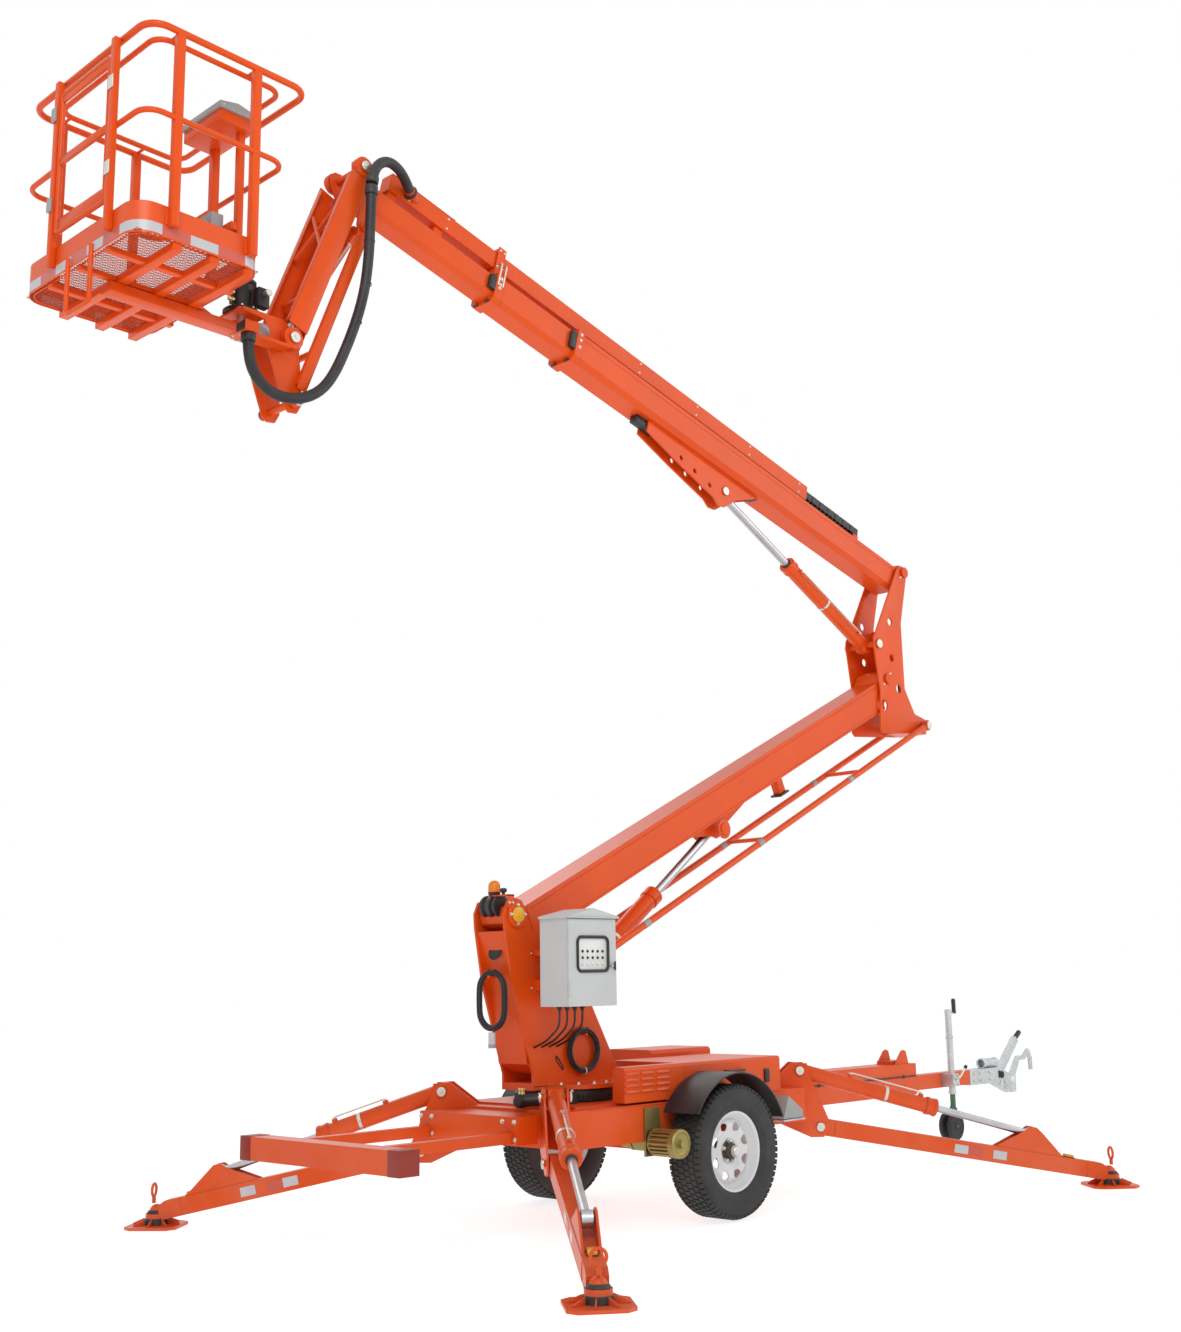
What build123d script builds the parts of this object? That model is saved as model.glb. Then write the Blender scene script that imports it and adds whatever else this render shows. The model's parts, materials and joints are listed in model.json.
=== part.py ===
from build123d import *
import os
from math import atan2, cos, degrees, hypot, radians, sin, tan

# A towable articulating boom lift on its outriggers. Millimetres, +Z up, +X toward the coupling, +Y the
# left-hand side. The ground is Z = 0. Points in tables are (x from the wheel axle, z) unless a comment
# says otherwise, and AXLE_X carries the axle to its place under the middle of the whole machine.

AXLE_X = -482
GAP = 0.3            # between pieces that only touch
RUN_GAP = 6          # side clearance between moving pieces
FIT = 0.3            # radial clearance of pins and rods in their bores

# ---- running gear
TYRE_R, TYRE_HALF, RIM_R, RIM_HALF = 370, 113, 216, 82
AXLE_Z, WHEEL_Y, HUB_R, STUB_R = 378, 677, 56, 24
AXLE_TUBE = 60
ROLLER_X, ROLLER_Z, ROLLER_R, ROLLER_Y0, ROLLER_Y1 = -455, 455, 80, 552, 752
ROLLER_PIN_R, MOTOR_R = 18, 52
GUARD_R, GUARD_WALL, GUARD_Y0, GUARD_Y1 = 432, 5, 548, 800
GUARD_FROM, GUARD_TO = 22, 148      # degrees round the wheel

# ---- chassis frame
BEAM_Y0, BEAM_Y1, BEAM_Z0, BEAM_Z1 = 445, 525, 460, 660
REAR_BOX_X0, REAR_BOX_X1, REAR_BOX_HALF, REAR_BOX_Z0, REAR_BOX_Z1 = -1360, -1205, 390, 500, 645
BUMPER_X, BUMPER_HALF, BUMPER_SIDE, BUMPER_Z = -2300, 650, 118, 517
NOSE_X1, NOSE_HALF, NOSE_Z0, NOSE_Z1 = 1500, 190, 460, 700
DRAW_X1, DRAW_HALF, DRAW_Z0, DRAW_Z1 = 2980, 90, 480, 700
NARROW_X1, NARROW_HALF, NARROW_Z0, NARROW_Z1 = 3800, 50, 500, 605
RING_X, RING_R, RING_BORE, RING_Z0, RING_Z1 = -600, 280, 190, 672, 745

# ---- coupling and jockey wheel
COUPLING_X1, BALL_X, BALL_Z, BALL_BORE, HEAD_R = 4230, 4500, 400, 25.5, 46
HOOK_X = 4860
JOCKEY_X, JOCKEY_Y, JOCKEY_R, JOCKEY_Z0, JOCKEY_Z1 = 3430, -112, 25, 452, 1060
CASTOR_R, CASTOR_Z, CASTOR_HALF, CASTOR_TRAIL = 105, 225, 17, 40

# ---- outriggers, in the upright plane of each leg: k outward from the leg's pivot, z above the ground
LEG_W, LEG_D, LEG_PIN_R, LEG_BARREL_R, LEG_ROD_R = 100, 100, 18, 47.5, 22
CLEVIS_T, PAD_HALF, PAD_T, BALL_R, PAD_Z = 12, 150, 16, 42, 85
# ends of the machine: pivot x, y, z; way out of the leg's plane in degrees off X; cylinder pin k, z;
# rod eye k, z; ball k; how long the barrel and the rod are
OUTRIGGERS = {
    "front": dict(x=1189, y=480, z=412, turn=42, uk=-120, uz=757, rk=1375, rz=331, ball=1870, barrel=920, rod=735),
    "rear": dict(x=-1206, y=543, z=410, turn=129, uk=-120, uz=735, rk=1175, rz=300, ball=1540, barrel=760, rod=706),
}

# ---- turret
PLATE_T, PLATE_Y = 16, 112          # turret side plates stand from PLATE_Y outward
PIN_A = (-1100, 1710)               # lower-boom pin
PIN_D = (-626, 1397)                # link-rod pin
PIN_E = (-600, 1260)                # lower-cylinder pin
BIG_PIN_R = 30
CAB_X0, CAB_X1, CAB_Y0, CAB_Y1, CAB_Z0, CAB_Z1, CAB_WALL = -1067, -686, -500, -280, 1204, 1680, 10
DOOR_HINGE_R = 6
ROOF_RISE, ROOF_OVER = 55, 14

# ---- lower boom and its link
LOW_ANGLE, LOW_LENGTH = 25.2, 4319
LOW_W, LOW_TOP, LOW_BOTTOM, LOW_WALL = 210, 8, -205, 8
LOW_ROOT, LOW_TIP = 100, 100        # the box starts and stops this far from its pins
LINK_Y, LINK_R, LINK_EYE_R, LINK_EYE_T, LINK_PIN_R = 160, 22, 42, 32, 22
LINK_DX, LINK_DZ = 474, -313        # from a boom pin to the link-rod pin beside it
LOW_ROD_PIN = (800, 2297)
LOW_CYL_R, LOW_ROD_R, LOW_BARREL, LOW_ROD = 55, 28, 1014, 1306
EYE_R, EYE_T = 45, 56

# ---- knuckle
KNUCKLE_Y, KNUCKLE_T = 119, 12      # plates stand from KNUCKLE_Y outward
KNUCKLE_DX, KNUCKLE_DZ = 311, 888   # from pin B to pin K
CYL_DX, CYL_DZ = -99.95, 259.06      # from pin B to the upper cylinder's pin

# ---- upper boom: s along the boom from pin K, t square to it
UP_ANGLE = 14.3
OUT_S0, OUT_S1, OUT_W, OUT_TOP, OUT_BOTTOM, OUT_WALL = 60, 3750, 210, 20, -180, 7
MID_S0, MID_S1, MID_W, MID_BOTTOM, MID_TOP, MID_WALL = 1150, 4450, 184, -167, 7, 6
IN_S0, IN_S1, IN_W, IN_BOTTOM, IN_TOP, IN_WALL = 1450, 5385, 160, -148, -5, 8
COLLAR_L, COLLAR_T, MID_COLLAR_T, PAD_L, PAD_W = 60, 14, 12, 60, 100
ROD_G = (2100, -300)                # upper-cylinder rod pin as (s, t)
UP_CYL_R, UP_ROD_R, UP_BARREL, UP_ROD = 52, 28, 1060, 1560
TRAY_S0, TRAY_S1, TRAY_W, TRAY_T0, TRAY_T1, TRAY_WALL = 1200, 5300, 92, 78, 188, 5
CHAIN_S0, CHAIN_S1, CHAIN_W, CHAIN_H = 500, 1600, 66, 60

# ---- jib and basket
HEAD_S, HEAD_T = 5470, -70          # levelling pin H as (s, t)
HEAD_Y, HEAD_PLATE, LANE_Y, LANE_T = 92, 12, 112, 38
# jib pins as (x, z) from the levelling pin H, then the basket's shaft from the arm's lower pin M
T1_OFF, T2_OFF, M_OFF, L_OFF = (-51.14, 99.81), (-21.14, -240.19), (-501.14, -1050.19), (-471.14, -1390.19)
ARM_W, LINK_W, JIB_PIN_R = 128, 62, 20
JIB_CYL_R, JIB_ROD_R, JIB_BARREL, JIB_ROD = 34, 18, 760, 745
TURN_DX, SHELF_DZ = -230, 92        # from the arm's lower pin M to the basket's shaft and its shelf
YOKE_LOW, YOKE_HIGH = -112, -40     # z from the shelf, as all z of the basket
ROTATOR_R, ROTATOR_H, SHAFT_R = 62, 180, 26
FLOOR_BACK, FLOOR_FRONT, FLOOR_HALF, SKIRT_T = -932, -235, 545, 4     # x from the shaft
SKIRT_LOW, SKIRT_H = -22, 160
RAIL_BACK, RAIL_FRONT, RAIL_HALF, RAIL_UP, RAIL_R = -932, 5, 592, 1028, 17
MID_RAIL_FRONT, MID_RAIL_UP, MID_RAIL_R, HAND_RAIL_IN, STUB_R = -130, 578, 14, 100, 8
POST_W, POST_IN = 42, (182, 612)    # square posts, this far in front of the back rail
GATE_Y0, GATE_Y1, GATE_LOW, GATE_R = -285, 175, 198, 13
BOX_W, BOX_Y0, BOX_Y1, BOX_H, BOX_DROP = 190, -330, 10, 100, 90

# ---- cords: points are x from the axle, y, z
HOSE_R = 29                         # bundle beside the jib
# the gland on the hose tray: back from the tray's end, sideways, down from its top
GLAND_ROOT, GLAND_MOUTH = (189.378, -30, 53.079), (114.669, -79.5, 51.483)
ELBOW = (
    (-1873, -80.2, 5850.3), (-1940, -126.3, 5868.9), (-2024, -165, 5892), (-2112, -188, 5893), (-2186, -198, 5850),
    (-2228, -200, 5780), (-2240, -200, 5704),
)
JIB_HOSE = (
    (-2241, -200, 5690), (-2246, -200, 5480), (-2256, -200, 5230), (-2290, -200, 5000), (-2375, -200, 4740),
    (-2500, -200, 4460), (-2640, -200, 4335), (-2815, -200, 4292), (-2939, -200, 4337), (-3015, -200, 4450),
    (-3015, -200, 4585),
)
REAR_COIL = dict(x=-1175, y=-4, z=1243, half_w=105, half_h=155, r=20)
SIDE_COIL = dict(x=-594, y=-150, z=950, radius=115, r=18)
COIL_PEG_R, PLUG_R, PLUG_H = 8, 20, 85

pieces = {}


# ------------------------------------------------------------------ helpers, all working in the open part
def at(x, y, z):
    """A point given from the axle, in the part's frame."""
    return (AXLE_X + x, y, z)


def side(y=0):
    """Side-view plane whose sketch coordinates are x from the axle and z."""
    return Plane(origin=at(0, y, 0), x_dir=(1, 0, 0), z_dir=(0, -1, 0))


def slab(x0, x1, y0, y1, z0, z1, mode=Mode.ADD):
    """A block between limits, x from the axle."""
    with BuildSketch(Plane(origin=at(0, 0, z0))) as foot:
        with Locations(((x0 + x1) / 2, (y0 + y1) / 2)):
            Rectangle(x1 - x0, y1 - y0)
    extrude(foot.sketch, amount=z1 - z0, mode=mode)


def rod(start, end, radius, mode=Mode.ADD):
    """A round bar between two points of the part's frame."""
    way = Vector(*end) - Vector(*start)
    with BuildSketch(Plane(origin=start, z_dir=way.normalized())) as face:
        Circle(radius)
    extrude(face.sketch, amount=way.length, mode=mode)


def cross_rod(point, y0, y1, radius, mode=Mode.ADD):
    """A round bar across the machine through a side-view point, between two y."""
    rod(at(point[0], y0, point[1]), at(point[0], y1, point[1]), radius, mode)


def plate(plane, outline, thick, holes=(), mode=Mode.ADD):
    """A plate standing from the plane along its normal, with round holes (x, y, radius)."""
    with BuildSketch(plane) as face:
        with BuildLine():
            Polyline(*outline, close=True)
        make_face()
        for x, y, radius in holes:
            with Locations((x, y)):
                Circle(radius, mode=Mode.SUBTRACT)
    extrude(face.sketch, amount=thick, mode=mode)


def twin_plates(outline, inner, thick, holes=()):
    """Two like plates in side view, mirrored about the machine's middle plane."""
    plate(side(-inner), outline, thick, holes)
    plate(side(inner + thick), outline, thick, holes)


def polar(origin, angle, length):
    """The point at a length and an angle from another."""
    return (origin[0] + length * cos(radians(angle)), origin[1] + length * sin(radians(angle)))


def line_plane(origin, angle, y=0):
    """Side-view plane lying along a boom that points forward and up by the angle."""
    x_dir = (cos(radians(angle)), 0, sin(radians(angle)))
    return Plane(origin=at(origin[0], y, origin[1]), x_dir=x_dir, z_dir=(0, -1, 0))


def back_plane(origin, angle, y=0):
    """Side-view plane along a boom that points rearward and up, with local y square to it and up."""
    x_dir = (-cos(radians(angle)), 0, sin(radians(angle)))
    return Plane(origin=at(origin[0], y, origin[1]), x_dir=x_dir, z_dir=(0, 1, 0))


def boxed(plane_at, s0, s1, wide, bottom, top, mode=Mode.ADD):
    """A box beam on a side-view plane family: along s, between bottom and top, across the middle."""
    with BuildSketch(plane_at) as face:
        with Locations(((s0 + s1) / 2, (bottom + top) / 2)):
            Rectangle(s1 - s0, top - bottom)
    extrude(face.sketch, amount=wide / 2, both=True, mode=mode)


def cylinder_barrel(base, tip, length, radius, bore, eye_t, across):
    """A hydraulic barrel from its base pin toward the tip, bored for its rod, with a base eye."""
    way = (Vector(*tip) - Vector(*base)).normalized()
    start, end = Vector(*base), Vector(*base) + way * length
    half_eye = Vector(*across) * eye_t / 2
    rod(tuple(start), tuple(end), radius)
    rod(tuple(start - half_eye), tuple(start + half_eye), radius + 2)
    rod(tuple(end - way * 70), tuple(end), radius + 6)
    rod(tuple(start + way * (radius + 45)), tuple(end + way), bore, Mode.SUBTRACT)


def cylinder_rod(base, tip, length, radius, eye_r, eye_t, across):
    """A hydraulic rod that ends in an eye at the tip, its eye lying along the direction across."""
    way = (Vector(*tip) - Vector(*base)).normalized()
    end = Vector(*tip)
    rod(tuple(end - way * length), tuple(end), radius)
    side_way = Vector(*across)
    rod(tuple(end - side_way * eye_t / 2), tuple(end + side_way * eye_t / 2), eye_r)


# ------------------------------------------------------------------ derived pins
PIN_B = polar(PIN_A, LOW_ANGLE, LOW_LENGTH)
PIN_C = (PIN_B[0] + LINK_DX, PIN_B[1] + LINK_DZ)
PIN_K = (PIN_B[0] + KNUCKLE_DX, PIN_B[1] + KNUCKLE_DZ)


def on_upper(s, t):
    """The side-view point at s along the upper boom and t square to it."""
    c, n = cos(radians(UP_ANGLE)), sin(radians(UP_ANGLE))
    return (PIN_K[0] - c * s + n * t, PIN_K[1] + n * s + c * t)


PIN_G = on_upper(*ROD_G)
PIN_H = on_upper(HEAD_S, HEAD_T)


def offset_from(pin, step):
    """A side-view point given from a pin."""
    return (pin[0] + step[0], pin[1] + step[1])


PIN_F = offset_from(PIN_B, (CYL_DX, CYL_DZ))
PIN_T1, PIN_T2, PIN_M, PIN_L = (offset_from(PIN_H, step) for step in (T1_OFF, T2_OFF, M_OFF, L_OFF))
TURN_X, SHELF_Z = offset_from(PIN_M, (TURN_DX, SHELF_DZ))
YOKE_Z0, YOKE_Z1 = SHELF_Z + YOKE_LOW, SHELF_Z + YOKE_HIGH
FLOOR_X0, FLOOR_X1 = TURN_X + FLOOR_BACK, TURN_X + FLOOR_FRONT
SKIRT_Z0 = SHELF_Z + SKIRT_LOW
SKIRT_Z1 = SKIRT_Z0 + SKIRT_H
RAIL_X0, RAIL_X1, RAIL_Z = TURN_X + RAIL_BACK, TURN_X + RAIL_FRONT, SHELF_Z + RAIL_UP
MID_RAIL_X1, MID_RAIL_Z = TURN_X + MID_RAIL_FRONT, SHELF_Z + MID_RAIL_UP
GATE_Z0, GATE_Z1 = SHELF_Z + GATE_LOW, RAIL_Z - 90
ACROSS = (0, 1, 0)

# ------------------------------------------------------------------ chassis frame
with BuildPart() as chassis_frame:
    for way in (-1, 1):
        slab(-1100, 1000, min(way * BEAM_Y0, way * BEAM_Y1), max(way * BEAM_Y0, way * BEAM_Y1), BEAM_Z0, BEAM_Z1)
        rod(at(ROLLER_X, way * 420, ROLLER_Z), at(ROLLER_X, way * 560, ROLLER_Z), MOTOR_R + 8, Mode.SUBTRACT)
    # cross members as x0, x1, half-width, z0, z1
    for x0, x1, half, z0, z1 in (
        (-1100, -960, BEAM_Y1, BEAM_Z0, BEAM_Z1),
        (-240, -160, BEAM_Y0, 480, 640),
        (800, 1000, BEAM_Y1, BEAM_Z0, BEAM_Z1),
        (REAR_BOX_X0, REAR_BOX_X1, REAR_BOX_HALF, REAR_BOX_Z0, REAR_BOX_Z1),
        (REAR_BOX_X1, -1100, 250, REAR_BOX_Z0, REAR_BOX_Z1),
        (1000, NOSE_X1, NOSE_HALF, NOSE_Z0, NOSE_Z1),
    ):
        slab(x0, x1, -half, half, z0, z1)
    slab(-980, -220, -BEAM_Y0, BEAM_Y0, 652, RING_Z0)
    # axle hangers under the beams
    for way in (-1, 1):
        slab(-45, 45, way * 485 - 12, way * 485 + 12, AXLE_Z, BEAM_Z0)
    for end in OUTRIGGERS.values():
        for way in (-1, 1):
            out = (cos(radians(end["turn"])), way * sin(radians(end["turn"])), 0)
            normal = (out[1], -out[0], 0)
            back = -330
            for face in (LEG_W / 2 + RUN_GAP, -(LEG_W / 2 + RUN_GAP) - CLEVIS_T):
                origin = at(end["x"] + normal[0] * face, way * end["y"] + normal[1] * face, 0)
                ear = Plane(origin=origin, x_dir=out, z_dir=normal)
                k, z, u = 0, end["z"], (end["uk"], end["uz"])
                outline = (
                    (back, BEAM_Z0 + 10), (-60, z - 62), (20, z - 62), (62, z - 20), (62, z + 30),
                    (u[0] + 62, u[1] - 20), (u[0] + 50, u[1] + 45), (u[0] - 45, u[1] + 50), (back, BEAM_Z1),
                )
                plate(ear, outline, CLEVIS_T)
            for point in ((0, end["z"]), (end["uk"], end["uz"])):
                mid = Vector(*at(end["x"] + out[0] * point[0], way * end["y"] + out[1] * point[0], point[1]))
                reach = Vector(*normal) * (LEG_W / 2 + RUN_GAP + CLEVIS_T + 10)
                rod(tuple(mid - reach), tuple(mid + reach), LEG_PIN_R)
    # the axle and its stubs
    slab(-AXLE_TUBE / 2, AXLE_TUBE / 2, -560, 560, AXLE_Z - AXLE_TUBE / 2, AXLE_Z + AXLE_TUBE / 2)
    for way in (-1, 1):
        cross_rod((0, AXLE_Z), way * 558, way * (WHEEL_Y + 70), STUB_R)
pieces["chassis_frame"] = chassis_frame

with BuildPart() as rear_bumper:
    slab(
        BUMPER_X - BUMPER_SIDE / 2, BUMPER_X + BUMPER_SIDE / 2, -BUMPER_HALF, BUMPER_HALF,
        BUMPER_Z - BUMPER_SIDE / 2, BUMPER_Z + BUMPER_SIDE / 2,
    )
    for way in (-1, 1):
        slab(BUMPER_X, REAR_BOX_X0 - GAP, way * 330 - 30, way * 330 + 30, REAR_BOX_Z0 + 10, BUMPER_Z + 50)
pieces["rear_bumper"] = rear_bumper

with BuildPart() as drawbar:
    slab(NOSE_X1 + GAP, DRAW_X1, -DRAW_HALF, DRAW_HALF, DRAW_Z0, DRAW_Z1)
    slab(DRAW_X1, NARROW_X1, -NARROW_HALF, NARROW_HALF, NARROW_Z0, NARROW_Z1)
    plate(side(-NARROW_HALF), ((DRAW_X1, DRAW_Z0), (DRAW_X1 + 70, NARROW_Z0), (DRAW_X1 + 70, NARROW_Z1), (DRAW_X1, DRAW_Z1)), -2 * NARROW_HALF)
    slab(2700, 2900, -60, 60, DRAW_Z1, DRAW_Z1 + 26)
    plate(side(-70), ((2720, DRAW_Z1), (2900, DRAW_Z1), (2870, 790), (2840, 800), (2810, 790)), 10)
    plate(side(80), ((2720, DRAW_Z1), (2900, DRAW_Z1), (2870, 790), (2840, 800), (2810, 790)), 10)
pieces["drawbar"] = drawbar

with BuildPart() as coupling:
    slab(NARROW_X1 + GAP, COUPLING_X1, -52, 52, 490, 605)
    plate(side(-30), (
        (COUPLING_X1 - 60, 600), (COUPLING_X1 - 60, 495), (BALL_X - 60, BALL_Z), (BALL_X + 40, BALL_Z),
        (BALL_X + 46, BALL_Z + 120), (BALL_X - 60, BALL_Z + 150), (COUPLING_X1 + 60, 600),
    ), -60)
    rod(at(BALL_X, 0, BALL_Z), at(BALL_X, 0, BALL_Z + 72), HEAD_R)
    rod(at(BALL_X, 0, BALL_Z - 1), at(BALL_X, 0, BALL_Z + 50), BALL_BORE, Mode.SUBTRACT)
    # hand-brake lever and its grip
    plate(side(-20), ((4270, 560), (4330, 520), (4640, 790), (4600, 830)), -40)
    rod(at(4600, 0, 800), at(4700, 0, 862), 17)
    # coupling handle
    plate(side(-14), (
        (4500, 540), (4560, 510), (4650, 640), (4740, 640), (4800, 690), (HOOK_X - 26, 640), (HOOK_X - 22, 555),
        (HOOK_X, 555), (HOOK_X, 655), (4815, 725), (4735, 672), (4630, 675),
    ), -28)
    # jockey tube in its clamp, with its crank
    rod(at(JOCKEY_X, JOCKEY_Y, JOCKEY_Z0), at(JOCKEY_X, JOCKEY_Y, JOCKEY_Z1), JOCKEY_R)
    slab(JOCKEY_X - 45, JOCKEY_X + 45, JOCKEY_Y - 38, -NARROW_HALF - GAP, 510, 600)
    rod(at(JOCKEY_X, JOCKEY_Y, JOCKEY_Z1 - 15), at(JOCKEY_X + 95, JOCKEY_Y, JOCKEY_Z1 - 15), 7)
    rod(at(JOCKEY_X + 88, JOCKEY_Y, JOCKEY_Z1 - 20), at(JOCKEY_X + 88, JOCKEY_Y, JOCKEY_Z1 + 95), 13)
pieces["coupling"] = coupling

with BuildPart() as jockey_fork:
    rod(at(JOCKEY_X, JOCKEY_Y, 345), at(JOCKEY_X, JOCKEY_Y, JOCKEY_Z0 - GAP), 20)
    slab(JOCKEY_X - 45, JOCKEY_X + 30, JOCKEY_Y - 16, JOCKEY_Y + 16, 336, 352)
    plate(side(JOCKEY_Y + 8), (
        (JOCKEY_X - CASTOR_TRAIL - 24, CASTOR_Z - 20), (JOCKEY_X - CASTOR_TRAIL + 24, CASTOR_Z - 20),
        (JOCKEY_X + 30, 345), (JOCKEY_X + 10, 400), (JOCKEY_X - 10, 400), (JOCKEY_X - 45, 345),
    ), 16)
    cross_rod((JOCKEY_X - CASTOR_TRAIL, CASTOR_Z), JOCKEY_Y - 56, JOCKEY_Y + 56, 9)
pieces["jockey_fork"] = jockey_fork

with BuildPart() as jockey_wheels:
    for way in (-1, 1):
        middle = JOCKEY_Y + way * 36
        cross_rod((JOCKEY_X - CASTOR_TRAIL, CASTOR_Z), middle - CASTOR_HALF, middle + CASTOR_HALF, CASTOR_R)
        cross_rod(
            (JOCKEY_X - CASTOR_TRAIL, CASTOR_Z), middle - CASTOR_HALF - 1, middle + CASTOR_HALF + 1, 9 + FIT,
            Mode.SUBTRACT,
        )
pieces["jockey_wheels"] = jockey_wheels

with BuildPart() as mudguards:
    for way in (-1, 1):
        with BuildSketch(side(way * (GUARD_Y0 + GUARD_Y1) / 2)) as ring:
            with Locations((0, AXLE_Z)):
                Circle(GUARD_R + GUARD_WALL)
                Circle(GUARD_R, mode=Mode.SUBTRACT)
            with BuildLine():
                far = 2 * GUARD_R
                below = polar((0, AXLE_Z), GUARD_FROM, far)
                behind = polar((0, AXLE_Z), GUARD_TO, far)
                Polyline((0, AXLE_Z), below, (far, -far), (-2 * far, -far), (-2 * far, behind[1]), behind, close=True)
            make_face(mode=Mode.SUBTRACT)
        extrude(ring.sketch, amount=(GUARD_Y1 - GUARD_Y0) / 2, both=True)
        y0, y1 = sorted((way * (BEAM_Y1 + GAP), way * (GUARD_Y0 + 4)))
        slab(-35, 35, y0, y1, 600, AXLE_Z + GUARD_R + 2)
pieces["mudguards"] = mudguards

with BuildPart() as power_cover:
    slab(-150, 760, -520, 60, BEAM_Z1 + GAP, 866)
    slab(-660, -150, -520, -430, BEAM_Z1 + 12 + GAP, 866)
    fillet(power_cover.edges().filter_by(Axis.X).group_by(Axis.Z)[-1], 18)
    with BuildPart(mode=Mode.PRIVATE) as valve_cover:
        slab(300, 880, 130, 500, BEAM_Z1 + GAP, 905)
        fillet(valve_cover.edges().filter_by(Axis.X).group_by(Axis.Z)[-1], 25)
    add(valve_cover.part)
pieces["power_cover"] = power_cover

with BuildPart() as slewing_ring:
    rod(at(RING_X, 0, RING_Z0 + GAP), at(RING_X, 0, RING_Z1), RING_R)
    rod(at(RING_X, 0, RING_Z0), at(RING_X, 0, RING_Z1 + 1), RING_BORE, Mode.SUBTRACT)
    slab(RING_X - 330, RING_X - 200, -290, -110, RING_Z0 + GAP, 738)
    rod(at(-1170, -200, 705), at(RING_X - 325, -200, 705), 32)
pieces["slewing_ring"] = slewing_ring

with BuildPart() as traction_motors:
    for way in (-1, 1):
        cross_rod((ROLLER_X, ROLLER_Z), way * 425, way * 540, MOTOR_R)
        cross_rod((ROLLER_X, ROLLER_Z), way * 538, way * (ROLLER_Y1 + 8), ROLLER_PIN_R)
        y0, y1 = sorted((way * (BEAM_Y1 + GAP), way * 540))
        slab(ROLLER_X - 60, ROLLER_X + 60, y0, y1, 380, 640)
pieces["traction_motors"] = traction_motors

for name, way in (("left", 1), ("right", -1)):
    with BuildPart() as traction_roller:
        cross_rod((ROLLER_X, ROLLER_Z), way * ROLLER_Y0, way * ROLLER_Y1, ROLLER_R)
        cross_rod((ROLLER_X, ROLLER_Z), way * (ROLLER_Y0 - 1), way * (ROLLER_Y1 + 1), ROLLER_PIN_R + FIT, Mode.SUBTRACT)
    pieces["traction_roller_" + name] = traction_roller

    hub_plane = Plane(origin=at(0, way * WHEEL_Y, AXLE_Z), x_dir=(1, 0, 0), z_dir=(0, way, 0))
    with BuildPart() as tyre:
        # section as (radius, y from the wheel's middle)
        section = (
            (RIM_R + GAP, -70), (250, -98), (300, -TYRE_HALF), (345, -TYRE_HALF + 8), (TYRE_R, -TYRE_HALF + 38),
            (TYRE_R, TYRE_HALF - 38), (345, TYRE_HALF - 8), (300, TYRE_HALF), (250, 98), (RIM_R + GAP, 70),
        )
        with BuildSketch(Plane(origin=hub_plane.origin, x_dir=(1, 0, 0), z_dir=(0, 0, -way))) as cut:
            with BuildLine():
                Polyline(*section, close=True)
            make_face()
        revolve(cut.sketch, axis=Axis(hub_plane.origin, (0, 1, 0)), revolution_arc=360)
    pieces["tyre_" + name] = tyre

    with BuildPart() as rim:
        section = (
            (STUB_R + FIT, -30), (HUB_R, -30), (HUB_R, 22), (RIM_R - 14, 22), (RIM_R - 14, -72), (RIM_R + 4, -RIM_HALF),
            (RIM_R + 4, -RIM_HALF + 8), (RIM_R, -RIM_HALF + 10), (RIM_R, RIM_HALF - 10), (RIM_R + 4, RIM_HALF - 8),
            (RIM_R + 4, RIM_HALF), (RIM_R - 14, 72), (RIM_R - 14, 32), (HUB_R, 32), (HUB_R, 78), (STUB_R + FIT, 78),
        )
        with BuildSketch(Plane(origin=hub_plane.origin, x_dir=(1, 0, 0), z_dir=(0, 0, -way))) as cut:
            with BuildLine():
                Polyline(*section, close=True)
            make_face()
        revolve(cut.sketch, axis=Axis(hub_plane.origin, (0, 1, 0)), revolution_arc=360)
        with BuildSketch(hub_plane) as pierce:
            with PolarLocations(142, 8):
                Circle(19)
        extrude(pierce.sketch, amount=60, mode=Mode.SUBTRACT)
    pieces["rim_" + name] = rim

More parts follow.
